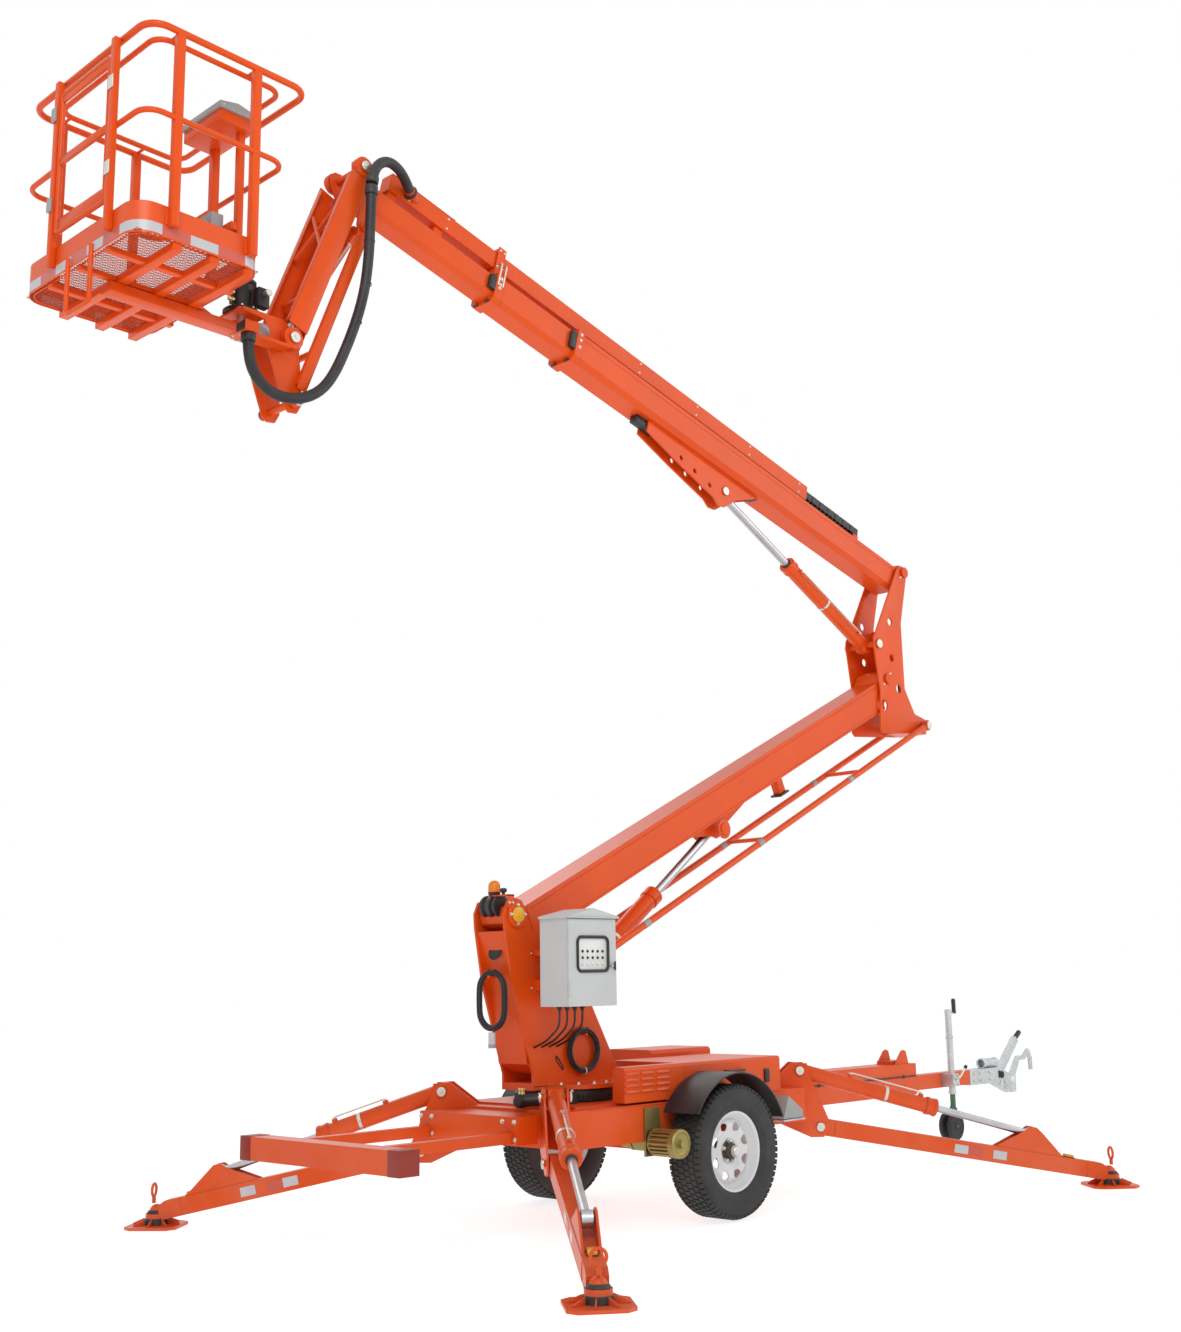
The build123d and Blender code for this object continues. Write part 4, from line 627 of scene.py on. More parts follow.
def oblong(x0, x1, half, z):
    return [(x0, -half, z), (x1, -half, z), (x1, half, z), (x0, half, z)]


basket.tube("top_rail", oblong(-3.845, -2.942, 0.575, RAIL_TOP), 0.017, 0.10, orange, True, 4, 8, "orange_paint")
basket.tube("hand_rail", oblong(-3.748, -3.039, 0.478, RAIL_TOP), 0.014, 0.08, orange, True, 4, 8)
basket.tube("middle_rail", [(x, y, RAIL_MIDDLE) for x, y in MIDDLE_LINE], 0.014, 0.09, orange, False, 4, 8)


def basket_posts():
    posts = []
    for x in (-3.68, -3.25):
        for way in SIDES:
            posts.append(basket.block("post", about(x, 0.021), span(way, 0.546, 0.586), (POST_FOOT, 5.782), 0.004))
            posts.append(basket.block("post_foot", about(x, 0.034), span(way, 0.5455, 0.5515), (4.805, 4.885), 0.002))
            posts.append(basket.tube("stub", [(x, way * y, RAIL_TOP) for y in (0.470, 0.575)], 0.008, 0))
    for y in (-0.325, 0.215):
        posts.append(basket.block("gate_post", (-3.896, -3.863), about(y, 0.019), (POST_FOOT, 5.785), 0.004))
    return joined(posts, "rail_posts")


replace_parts(basket_posts(), "basket_rails")


def gate_trim():
    """A frame of flat bar and tube, with its hinges and two grey latches."""
    corners = [(GATE_X, y, z) for y, z in ((-0.285, 4.96), (0.175, 4.96), (0.175, 5.70), (-0.285, 5.70))]
    bars = [gate.tube("gate_frame", corners, 0.013, 0.02, orange, True, 4, 4)]
    for half, z in ((0.007, (5.655, 5.697)), (0.007, (5.315, 5.357)), (0.004, (4.965, 5.03))):
        bars.append(gate.block("gate_bar", about(GATE_X, half), (-0.275, 0.165), z, 0.002))
    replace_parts(joined(bars, "gate_frame"), "basket_gate")
    gate.block("gate_grey_pad", about(GATE_X, 0.010), (-0.26, 0.15), (5.694, 5.713), 0.003, grey_plastic)
    hinges, latches = [], []
    for z in (5.08, 5.52):
        hinges.append(basket.block("leaf", (-3.900, -3.8955), (-0.345, -0.30), (z - 0.004, z + 0.064), 0.001, zinc))
        hinges.append(basket.lathe("barrel", disc(0.0085, 0.062), (GATE_X, -0.3035, z), Z_WAY, zinc, 16))
    joined(hinges, "gate_hinges")
    for z in (5.115, 5.60):
        latches.append(basket.block("latch", (-3.910, -3.8965), (0.197, 0.235), about(z, 0.036), 0.004, grey_plastic))
    joined(latches, "gate_latches")


gate_trim()


def rounded_loop(x0, x1, half, z, corner, steps=8):
    """Points round a rectangle with rounded corners, from above, in order."""
    points = []
    for cx, cy, start in ((x1 - corner, half - corner, 0), (x0 + corner, half - corner, 90),
                          (x0 + corner, -half + corner, 180), (x1 - corner, -half + corner, 270)):
        points += circle((cx, cy, z), corner, [start + 90 * step / steps for step in range(steps + 1)], Y_WAY)
    return points


def skirt():
    """The toe board, a rounded band, over cross beams with a lip round them."""
    band = loop_of(rounded_loop(-3.862, -3.165, 0.545, 4.742, 0.11))
    edit(band)
    extrude((0, 0, 0.157))
    face_out()
    leave()
    run("SOLIDIFY", band, thickness=0.004, offset=-1)
    edit(band)
    face_out()
    leave()
    basket.done("toe_board", skirt_paint)
    beams = [basket.block("beam", (x, x + 0.05), (-0.538, 0.538), (4.704, 4.744)) for x in (-3.66, -3.46, -3.27)]
    beams += [basket.block("beam", (-3.852, -3.172), (y, y + 0.04), (4.716, 4.744)) for y in (-0.30, -0.03, 0.25)]
    beams.append(basket.tube("lip", rounded_loop(-3.838, -3.189, 0.521, 4.746, 0.086), 0.004, 0, orange, True, 2))
    return joined(beams, "floor_frame")


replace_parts(skirt(), "basket_floor")


def mesh_floor():
    """Expanded metal: a lattice of crossing strands under the standing area."""
    clear_choice()
    bpy.ops.mesh.primitive_grid_add(x_subdivisions=26, y_subdivisions=42, size=1, location=here(-3.5135, 0, 4.752))
    lattice = bpy.context.object
    lattice.scale = (0.66, 1.05, 1)
    fix_place()
    edit(lattice)
    bpy.ops.mesh.poke()
    leave()
    run("WIREFRAME", lattice, thickness=0.0035, use_even_offset=False)
    basket.done("floor_mesh", orange, 0)


mesh_floor()


def yoke():
    """The carrying arm from the rotator under the floor, with its gusset, hub and spindle."""
    hub = mm((0, 0), (58, 0), (60, 3), (60, 69), (58, 72), (0, 72))
    gusset = (-3.62, 4.70), (-3.05, 4.70), (-3.16, 4.745), (-3.62, 4.745)
    joined([
        basket.block("arm", (-3.70, -2.96), (-0.048, 0.048), (4.652, 4.702), 0.004),
        basket.lathe("hub", hub, (TURN_X, 0, 4.65), Z_WAY, orange, 32),
        basket.lathe("spindle", disc(0.026, 0.145), (TURN_X, 0, 4.72), Z_WAY, zinc, 24),
        basket.plate("gusset", gusset, -0.005, 0.010),
    ], "basket_yoke")
    basket.bolts("yoke_bolts", circle((TURN_X, 0, 4.65), 0.042, range(0, 360, 60), Y_WAY), -Z_WAY, 0.007)


yoke()
STEP_LINE = (-0.16, 4.79), (-0.16, 4.50), (0.06, 4.50), (0.06, 4.79)
basket.tube("basket_step", [(-3.868, y, z) for y, z in STEP_LINE], 0.012, 0.03, orange, False, 4, 5)


def controls():
    """The platform control box with its lid on two posts, and the socket box below it."""
    case = basket.block("control_case", (-3.30, -3.11), (-0.33, 0.01), (5.602, 5.668), 0.006)
    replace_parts(case, "control_box")
    lid = mm((-3312, 5668), (-3098, 5668), (-3098, 5700), (-3205, 5722), (-3312, 5700))
    basket.plate("control_lid", lid, -0.342, 0.364, 0.004, grey_plastic, "grey_paint")
    joined([
        basket.block("control_post", (-3.1645, -3.125), (-0.065, -0.020), (4.84, 5.605), 0.004),
        basket.block("control_post", (-3.1645, -3.130), (-0.300, -0.262), (4.84, 5.605), 0.004),
        basket.block("socket_shelf", (-3.20, -3.166), (-0.30, -0.02), (5.06, 5.10)),
    ], "control_posts")
    basket.block("socket_box", (-3.275, -3.205), (-0.24, -0.13), (5.02, 5.15), 0.006, grey_plastic)
    basket.block("junction_box", (-3.255, -3.205), (-0.12, -0.04), (5.04, 5.13), 0.006, grey_plastic)
    flap = mm((0, 0), (34, 0), (36, 4), (36, 16), (30, 22), (0, 22))
    basket.lathe("socket_flap", flap, (-3.275, -0.185, 5.085), -X_WAY, grey_plastic, 28)
    basket.bolts("control_screws", [(-3.20 + way * 0.09, -0.342, 5.683) for way in SIDES], -Y_WAY, 0.004)


controls()

# ---------------------------------------------------------------- running gear
# profiles are (radius, place across the wheel), outboard last; a tread row is (place, width, length)
TYRE = mm(
    (216.5, -78), (228, -93), (250, -104), (285, -112.5), (315, -113), (338, -108), (352, -98), (360, -88),
    (362.5, -70), (363.5, -40), (364, 0), (363.5, 40), (362.5, 70), (360, 88), (352, 98), (338, 108), (330, 109.5),
    (327, 111.5), (322, 111.5), (315, 113), (285, 112.5), (262, 108), (259, 109.5), (255, 107.5), (250, 104),
    (228, 93), (216.5, 78),
)
TREAD_ROWS = (
    (-0.094, 0.026, 0.0175), (-0.058, 0.030, 0.0150), (-0.0195, 0.033, 0.0165),
    (0.0195, 0.033, 0.0165), (0.058, 0.030, 0.0150), (0.094, 0.026, 0.0175),
)
TREAD_COUNT, TREAD_DEEP, SHOULDER_LEAN = 64, 0.016, 0.42
WHEEL_Y, WHEEL_Z = 0.677, 0.378
RIM = mm(
    (196, -68), (208, -78), (222, -83), (223.5, -79), (214, -72), (212.5, -62), (206, -50), (190, -30), (190, 20),
    (206, 46), (212.5, 62), (214, 72), (223.5, 79), (222, 84), (208, 80), (201, 68), (196, 48), (187, 34),
    (183, 26), (176, 26), (172, 34), (150, 50), (128, 46), (110, 36), (98, 34), (70, 34), (66, 30), (45, 30),
    (45, 24), (70, 24), (98, 27), (126, 38), (150, 42), (168, 26), (180, 16), (184, -30), (196, -68),
)
HUB = mm(
    (24.5, -30), (62, -30), (62, 22), (58, 34), (43, 36), (43, 60), (40, 64), (34, 65), (32, 82), (29, 86),
    (24.5, 86), (24.5, -30),
)
GREASE_CAP = mm((24.3, 60), (33, 66), (32.5, 90), (27, 98), (0, 100))
DRUM = mm(
    (18.5, -98), (68, -98), (70, -96), (70, -88), (60, -84), (60, 52), (76, 54), (79, 58), (79, 94), (75, 99),
    (62, 99), (60, 94), (50, 90), (24, 90), (24, 99), (18.5, 99), (18.5, -98),
)


def tread(on, name, place):
    """Rows of blocks; one block of each row is modelled and copied round."""
    lugs = []
    for index, (across, wide, along) in enumerate(TREAD_ROWS):
        shoulder = abs(across) > 0.08
        top = 0.3655 if shoulder else 0.3695
        clear_choice()
        bpy.ops.mesh.primitive_cube_add(
            size=1, location=(0, across, top - TREAD_DEEP / 2), scale=(along * 1.55, wide, TREAD_DEEP)
        )
        lug = bpy.context.object
        fix_place()
        edit(lug)
        bpy.ops.mesh.bevel(offset=0.0014, segments=1, affect="EDGES")
        leave()
        if shoulder:
            spot = Matrix.Translation((0, across, top - 0.006))
            lean = Matrix.Rotation(-SHOULDER_LEAN if across > 0 else SHOULDER_LEAN, 4, "X")
            lug.data.transform(spot @ lean @ spot.inverted())
        turns = [2 * pi * (step + 0.5 * (index % 2)) / TREAD_COUNT for step in range(TREAD_COUNT)]
        lugs += copied(lug, [place @ Matrix.Rotation(angle, 4, "Y") for angle in turns])
    joined(lugs, name, True)
    on.done(name, rubber, 0)


def pierced_rim(on, name, centre, outward):
    """A dished disc with eight long holes."""
    rim = on.lathe(name, RIM, centre, outward, white_paint, 96, 30)
    cutters = []
    for step in range(8):
        angle = 45 * step + 22.5
        bpy.ops.mesh.primitive_cylinder_add(vertices=28, radius=0.024, depth=0.12)
        cutter = bpy.context.object
        spot = circle(centre + outward * 0.03, 0.140, [angle])[0]
        roll = Matrix.Rotation(-radians(angle), 4, "Y") @ Matrix.Rotation(pi / 2, 4, "X")
        cutter.data.transform(Matrix.Translation(spot) @ roll @ Matrix.Scale(1.25, 4, Y_WAY))
        cutters.append(cutter)
    cut(rim, joined(cutters, "cutter"))
    rim.select_set(True)
    bpy.ops.object.shade_smooth_by_angle(angle=radians(30))
    clear_choice()
    return rim


def wheel_side(name, way):
    """Tyre, tread, rim, hub, grease cap and nuts of one wheel."""
    on = On("wheel_" + name)
    centre, outward = here(0, way * WHEEL_Y, WHEEL_Z), Y_WAY * way
    carcass = on.lathe("tyre_carcass_" + name, TYRE, centre, outward, rubber, 72, 40)
    flip = Matrix.Rotation(pi, 4, "Z") if way < 0 else Matrix.Identity(4)
    tread(on, "tread_" + name, Matrix.Translation(centre) @ flip)
    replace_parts(carcass, "tyre_" + name)
    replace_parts(pierced_rim(on, "wheel_rim_" + name, centre, outward), "rim_" + name)
    on.lathe("hub_" + name, HUB, centre, outward, black_paint, 40)
    on.lathe("grease_cap_" + name, GREASE_CAP, centre, outward, zinc, 32)
    spots = circle(centre + outward * 0.034, 0.057, range(18, 360, 72))
    on.bolts("wheel_nuts_" + name, spots, outward, 0.0105, zinc, 0.9)


def roller(name, way):
    """The knurled drive roller: end discs and bars round a drum."""
    on = On("traction_roller_" + name)
    centre, outward = here(-0.455, way * 0.652, 0.455), Y_WAY * way
    drum = [on.lathe("drum", DRUM, centre, outward, olive, 48)]
    for spot in circle(centre, 0.067, range(0, 360, 20)):
        drum.append(on.tube("bar", [spot - outward * 0.090, spot + outward * 0.060], 0.0075, 0, olive, sides=2))
    for spot in circle(centre, 0.0775, range(0, 360, 10)):
        drum.append(on.tube("knurl", [spot + outward * 0.060, spot + outward * 0.092], 0.0022, 0, olive, sides=1))
    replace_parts(joined(drum, "drive_roller_" + name), "traction_roller_" + name)


for make in (wheel_side, roller):
    for side_name, side_way in NAMED_SIDES:
        make(side_name, side_way)

# ---------------------------------------------------------------- frames along the beams
class Beam:
    """A frame along a beam: s along it, y across it, t square to both and upward."""

    def __init__(self, origin, along, across=Y_WAY):
        self.origin, self.s_way, self.y_way = Vector(origin), Vector(along).normalized(), across.normalized()
        self.t_way = self.s_way.cross(self.y_way)
        if self.t_way.z < 0:
            self.t_way.negate()

    def at(self, s, y=0.0, t=0.0):
        return self.origin + self.s_way * s + self.y_way * y + self.t_way * t

    def box(self, on, name, s, y, t, edge=0.003, finish=orange):
        """A block between pairs of s, y and t."""
        corners = [self.at(s[i], y[0], t[j]) for i, j in ((0, 0), (1, 0), (1, 1), (0, 1))]
        return on.sheet(name, corners, self.y_way * (y[1] - y[0]), edge, finish)


LOW_ANGLE, UP_ANGLE = radians(25.2), radians(14.3)
PIN_A, PIN_D, PIN_E = here(-1.100, 0, 1.710), here(-0.626, 0, 1.397), here(-0.600, 0, 1.260)
PIN_B, PIN_C, PIN_K = here(2.808, 0, 3.549), here(3.282, 0, 3.236), here(3.119, 0, 4.437)
PIN_F, LOW_ROD_PIN = here(2.708, 0, 3.808), here(0.800, 0, 2.297)
PIN_T1, PIN_T2 = here(-2.250, 0, 5.820), here(-2.220, 0, 5.480)
PIN_M, PIN_L = here(-2.700, 0, 4.670), here(-2.670, 0, 4.330)
LOWER = Beam(PIN_A, (cos(LOW_ANGLE), 0, sin(LOW_ANGLE)))
UPPER = Beam(PIN_K, (-cos(UP_ANGLE), 0, sin(UP_ANGLE)))
PIN_G, PIN_H = UPPER.at(2.100, 0, -0.300), UPPER.at(5.470, 0, -0.070)
JIB = Beam(PIN_T1, PIN_M - PIN_T1)
JIB_LINK = Beam(PIN_T2, PIN_L - PIN_T2)
ROD = Beam(PIN_D, PIN_C - PIN_D)


def ram(name, body, base, tip, length, radius, rod_radius, port_s, side_out, across=Y_WAY):
    """The fittings of a hydraulic cylinder: gland nut, wiper, ports and the pipe between them."""
    on = On(body)
    line = Beam(base, tip - base, across)
    out = line.y_way * side_out[0] + line.t_way * side_out[1]
    rim = radius + (0.0035 if name == "lower" else 0.0062)
    bore, lip = rod_radius + 0.001, rod_radius + 0.0006
    nut = (
        (bore, 0), (rim, 0), (rim + 0.003, 0.004), (rim + 0.003, 0.016), (rim, 0.019), (rim, 0.046),
        (rim + 0.003, 0.049), (rim + 0.003, 0.064), (rim - 0.004, 0.070), (bore, 0.070),
    )
    wiper = (lip, 0), (rod_radius + 0.009, 0), (rod_radius + 0.009, 0.004), (rod_radius + 0.004, 0.009), (lip, 0.009)
    gland = [on.lathe("gland", nut, line.at(length - 0.066), line.s_way, orange, 36)]
    on.lathe("wiper_" + name, wiper, line.at(length + 0.004), line.s_way, hose_skin, 28)
    ports = line.at(port_s), line.at(length - 0.11)
    boss = mm((0, 0), (17, 0), (17, 16), (15, 18), (0, 18))
    gland += [on.lathe("boss", boss, port + out * (radius - 0.003), out, orange, 20) for port in ports]
    joined(gland, "gland_" + name)
    foot, top = out * (radius + 0.012), out * (radius + 0.024)
    route = [ports[0] + foot, ports[0] + top, ports[1] + top, ports[1] + foot]
    pipe = [on.tube("pipe", route, 0.0055, 0.010, zinc, sides=2, bends=4)]
    union = mm((0, 0), (11, 0), (11, 10), (8, 12), (0, 12))
    pipe += [on.lathe("nut", union, port + out * (radius + 0.014), out, zinc, 6, 20) for port in ports]
    joined(pipe, "pipe_" + name)
    strap = ring(radius + 0.0004, radius + 0.003, 0.02)
    on.lathe("strap_" + name, strap, line.at((port_s + length - 0.11) / 2), line.s_way, zinc, 40)


ram("lower", "lower_barrel", PIN_E, LOW_ROD_PIN, 1.014, 0.055, 0.028, 0.16, (1, 0))
ram("upper", "upper_barrel", PIN_F, PIN_G, 1.060, 0.052, 0.028, 0.16, (-1, 0))
ram("jib", "jib_barrel", PIN_T2, PIN_M, 0.760, 0.034, 0.018, 0.12, (-1, 0))

# ---------------------------------------------------------------- jib
jib_head.both_ends("pin_caps_t1", PIN_T1, 0.158, 0.030, zinc)
jib_head.both_ends("pin_caps_t2", PIN_T2, 0.158, 0.030, zinc)
jib_head.both_ends("pin_caps_h", PIN_H, 0.108, 0.036, zinc)
jib_bracket.both_ends("pin_caps_m", PIN_M, 0.158, 0.030, zinc)
jib_bracket.both_ends("pin_caps_l", PIN_L, 0.158, 0.030, zinc)


def jib_bars():
    """The arm and the link as folded channels: a web with two flanges, and the bracing between them."""
    length = (PIN_M - PIN_T1).length
    inside = 0.113
    arm, link = [], []
    for way in SIDES:
        for pieces, on, line, half, thick, web in (
            (arm, jib_arm, JIB, 0.062, 0.006, 0.144), (link, jib_link, JIB_LINK, 0.030, 0.005, 0.142),
        ):
            for t in ((half - thick, half), (-half, thick - half)):
                pieces.append(line.box(on, "flange", (0.10, length - 0.10), span(way, inside, web), t, 0.0015))
            y = span(way, web, web + thick)
            pieces.append(line.box(on, "web", (0.07, length - 0.07), y, (-half, half), 0.002))
            eye_ring = (
                (0.0205, 0), (half * 0.96, 0), (half * 0.96, 0.036), (half * 0.9, 0.0375),
                (0.0205, 0.0375), (0.0205, 0),
            )
            for s in (0, length):
                pieces.append(on.lathe("eye", eye_ring, line.at(s, way * inside), line.y_way * way, orange, 36))
    for s0, s1 in ((0.30, 0.62), (0.62, 0.30)):
        arm.append(jib_arm.tube("brace", [JIB.at(s0, -0.118, 0.045), JIB.at(s1, 0.118, 0.045)], 0.012, 0))
    for pieces, on, line, s in (
        (arm, jib_arm, JIB, 0.33), (arm, jib_arm, JIB, 0.92), (link, jib_link, JIB_LINK, 0.90),
    ):
        pieces.append(on.tube("cross_tube", [line.at(s, -0.118), line.at(s, 0.118)], 0.018, 0, sides=4))
    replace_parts(joined(arm, "jib_arm_bars"), "jib_arm")
    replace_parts(joined(link, "jib_link_bars"), "jib_link")


jib_bars()
HOSE_Y, HOSE_RADIUS = -0.200, 0.029


def rotator():
    """The basket's turning motor with its flanges, bolts and valve block, and the bundle's clamp."""
    centre = here(TURN_X, 0, 4.775)
    case = mm(
        (26.5, 0), (94, 0), (96, 2), (96, 14), (94, 16), (70, 16), (66, 20), (63.5, 30), (63.5, 148), (66, 156),
        (74, 160), (76, 162), (76, 178), (73, 181), (26.5, 181), (26.5, 0),
    )
    jib_bracket.lathe("rotator_case", case, centre, Z_WAY, black_paint, 48)
    spots = circle(centre + Z_WAY * 0.016, 0.083, range(15, 360, 45), Y_WAY)
    jib_bracket.bolts("rotator_bolts", spots, Z_WAY, 0.0075)
    jib_bracket.block("rotator_valve", (-2.905, -2.835), (-0.118, -0.068), (4.800, 4.905), 0.004, black_paint)
    solenoid = mm((0, 0), (17, 0), (18, 2), (18, 46), (14, 50), (0, 50))
    jib_bracket.lathe("rotator_solenoid", solenoid, (-2.87, -0.118, 4.865), -Y_WAY, zinc, 24)
    ferrule = mm((29.5, 0), (36, 0), (38, 3), (38, 40), (34, 46), (29.5, 46))
    jib_head.lathe("bundle_ferrule", ferrule, (-3.015, HOSE_Y, 4.539), Z_WAY, black_plastic, 32)
    jib_bracket.block("bundle_clamp", (-3.064, -2.982), (-0.239, -0.161), (4.586, 4.639), 0.006, black_plastic)
    jib_bracket.bolts("clamp_bolts", [(x, HOSE_Y, 4.640) for x in (-3.05, -2.995)], Z_WAY, 0.006)
    jib_bracket.weld("kite_weld_left", (-2.985, -0.1045, 4.761), (-2.855, -0.1045, 4.742))
    shade = mm((0, 0), (30, 0), (44, 12), (46, 30), (46, 40), (40, 42), (0, 38))
    jib_bracket.lathe("work_lamp", shade, (-2.845, -0.070, 4.70), (-0.5, -0.3, -0.8), grey_plastic, 32)
    for z in (4.83, 4.87, 4.91):
        jib_bracket.couplings("rotator_fitting", (-2.994, -0.03, z), (-3.2, -0.03, z))


rotator()

# ---------------------------------------------------------------- cords
def cord_line(name, points, radius, body, node):
    """A free cord: one smooth spline through given control points, in place of its plain solid."""
    data = bpy.data.curves.new(name, "CURVE")
    data.dimensions = "3D"
    spline = data.splines.new("NURBS")
    spline.points.add(len(points) - 1)
    for knot, point in zip(spline.points, points):
        knot.co = (*point, 1.0)
    spline.order_u = 3
    spline.use_endpoint_u = True
    spline.resolution_u = 10
    data.bevel_depth, data.bevel_resolution, data.use_fill_caps = radius, 6, True
    data.materials.append(hose_skin)
    piece = bpy.data.objects.new(name, data)
    bpy.context.scene.collection.objects.link(piece)
    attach(piece, body)
    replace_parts(piece, node)
    return piece


ELBOW = [here(*p) for p in (
    (-1.873, -0.0802, 5.8503), (-1.940, -0.1263, 5.8689), (-2.024, -0.165, 5.892), (-2.112, -0.188, 5.893),
    (-2.186, -0.198, 5.850), (-2.228, -0.200, 5.780), (-2.240, -0.200, 5.704),
)]
JIB_HOSE = [here(x, HOSE_Y, z) for x, z in mm(
    (-2241, 5690), (-2246, 5480), (-2256, 5230), (-2290, 5000), (-2375, 4740), (-2500, 4460), (-2640, 4335),
    (-2815, 4292), (-2939, 4337), (-3015, 4450), (-3015, 4585),
)]
ELBOW_FERRULE = mm((29.5, 0), (35, 0), (36, 3), (36, 36), (33, 40), (29.5, 40))
ferrule = upper_inner.lathe(
    "elbow_ferrule", ELBOW_FERRULE, (-2.2337, HOSE_Y, 5.744), (-0.156, 0, -0.988), black_plastic, 32
)
elbow = cord_line("hose_elbow_bundle", ELBOW, HOSE_RADIUS, "upper_boom_inner", "hose_elbow")
bundle = cord_line("jib_hose_bundle", JIB_HOSE, HOSE_RADIUS, "jib_head", "jib_hose")


def coil_points(centre, across, half_w, straight, turns, spread, steps=16):
    """Turns of a hung coil: round ends of radius half_w with a straight between, spread within the bundle."""
    points = []
    for turn in range(turns):
        for step in range(steps):
            angle = 2 * pi * (step + 0.5) / steps + pi / 2
            shift = 2 * pi * (turn + step / steps) / turns
            push = across.cross(Z_WAY) * spread * sin(shift)
            reach = half_w + spread * cos(shift)
            lift = straight if sin(angle) > 0 else -straight
            points.append(centre + across * reach * cos(angle) + Z_WAY * (reach * sin(angle) + lift) + push)
    return points


rear_turns = coil_points(here(-1.175, -0.004, 1.243), Y_WAY, 0.105, 0.050, 6, 0.0125)
rear_coil = cord_line("charging_cable_coil", rear_turns, 0.006, "turret", "coil_rear")
side_turns = coil_points(here(-0.594, -0.150, 0.950), X_WAY, 0.115, 0.0, 5, 0.011)
side_coil = cord_line("control_cable_coil", side_turns, 0.0055, "turret", "coil_side")
turret.lathe("coil_tie", ring(0.019, 0.0215, 0.012, True), (-0.600, -0.150, 0.835), X_WAY, beige_plastic, 24)

# ---------------------------------------------------------------- upper boom
knuckle.both_ends("pin_caps_k", PIN_K, 0.143, 0.042)
upper.both_ends("pin_caps_g", PIN_G, 0.052, 0.030, zinc)


def boom_trim():
    """Wear pads, adjusting bolts and weld lines of the boom tubes, and the wear blocks under them."""
    for on, s0, half, low, high, proud in (
        (upper, 3.750, 0.105, -0.180, 0.020, 0.014), (upper_mid, 4.450, 0.092, -0.167, 0.007, 0.012),
    ):
        pads = []
        for y in (-half * 0.55, half * 0.55):
            for wide, t in ((0.026, (high - 0.004, high + 0.010)), (0.020, (low - 0.012, low + 0.002))):
                pads.append(UPPER.box(on, "pad", (s0 + 0.0006, s0 + 0.010), about(y, wide), t, 0.002, black_plastic))
        for way in SIDES:
            y, t = span(way, half - 0.011, half + 0.013), (low + 0.060, high - 0.022)
            pads.append(UPPER.box(on, "pad", (s0 + 0.0006, s0 + 0.050), y, t, 0.004, black_plastic))
        joined(pads, "wear_pads_" + on.body)
        for way in SIDES:
            spots = [UPPER.at(s0 - 0.03, way * (half + proud), t) for t in (high - 0.02, high - 0.06, low + 0.09)]
            on.bolts("collar_bolts_%s_%d" % (on.body, way), spots, Y_WAY * way, 0.008)
    upper.bolts("collar_top_bolts", [UPPER.at(3.72, y, 0.034) for y in (-0.06, 0.06)], UPPER.t_way, 0.009)
    for way in SIDES:
        for name, y, start, end, bead in (
            ("boom_seam", 0.1052, (0.12, -0.012), (3.68, -0.012), 0.0022),
            ("root_seam", 0.1055, (0.115, -0.145), (0.115, 0.005), 0.004),
            ("bracket_seam", 0.050, (1.76, -0.181), (2.92, -0.181), 0.004),
        ):
            ends = [UPPER.at(s, way * y, t) for s, t in (start, end)]
            upper.weld("%s_%d" % (name, way), *ends, bead)
    for s, reach, foot in ((2.84, 0.20, -0.232), (1.74, 0.09, -0.192)):
        UPPER.box(upper, "under_pad", (s, s + reach), (-0.032, 0.032), (foot, -0.1805), 0.003, black_plastic)


boom_trim()


def strap_and_roller():
    """The band, rollers and bolts of the bracket that carries the hose tray over the middle tube."""
    for s in (4.398, 4.436):
        band = [UPPER.at(s, y, t) for y, t in ((-0.104, -0.06), (-0.104, 0.10), (0.104, 0.10), (0.104, -0.06))]
        upper_mid.tube("strap_rod", band, 0.006, 0.02, zinc, sides=2)
    for t, radius in ((0.071, 0.0055), (0.195, 0.007)):
        axle = [UPPER.at(4.42, y, t) for y in (-0.043, 0.043)]
        upper_mid.tube("tray_roller", axle, radius, 0, black_plastic, sides=5)
    for way in SIDES:
        spots = [UPPER.at(4.42 + ds, way * 0.060, t) for ds in (-0.018, 0.018) for t in (0.090, 0.205)]
        upper_mid.bolts("roller_bolts_%d" % way, spots, Y_WAY * way, 0.006)


strap_and_roller()


def tray():
    """The hose tray's bolts, lid and gland ring, and the collar and ties of the bundle beside the jib."""
    spots = [UPPER.at(s, -0.046, t) for s in (1.30, 1.90, 2.50, 3.10, 4.85, 5.15) for t in (0.100, 0.166)]
    upper_inner.bolts("tray_bolts", spots, -Y_WAY, 0.0055)
    UPPER.box(upper_inner, "tray_lid", (4.80, 5.296), (-0.0485, 0.0485), (0.1882, 0.1915), 0.001)
    gland = mm((33.5, 0), (40, 0), (42, 3), (42, 18), (38, 22), (33.5, 22))
    upper_inner.lathe("gland_ring", gland, (-1.845, -0.061, 5.8425), (-0.803, -0.552, 0.223), black_plastic, 32)
    collar = mm((29.5, 0), (35, 0), (36, 3), (36, 48), (33, 52), (29.5, 52))
    jib_head.lathe("bundle_collar", collar, (-2.2412, HOSE_Y, 5.686), (-0.024, 0, -1.0), black_plastic, 32)
    joined([
        jib_head.lathe("tie", ring(0.0292, 0.0312, 0.008), (x, HOSE_Y, z), (-0.12, 0, -1), black_plastic, 28)
        for x, z in ((-2.2505, 5.36), (-2.271, 5.10), (-2.334, 4.86))
    ], "bundle_ties")


tray()


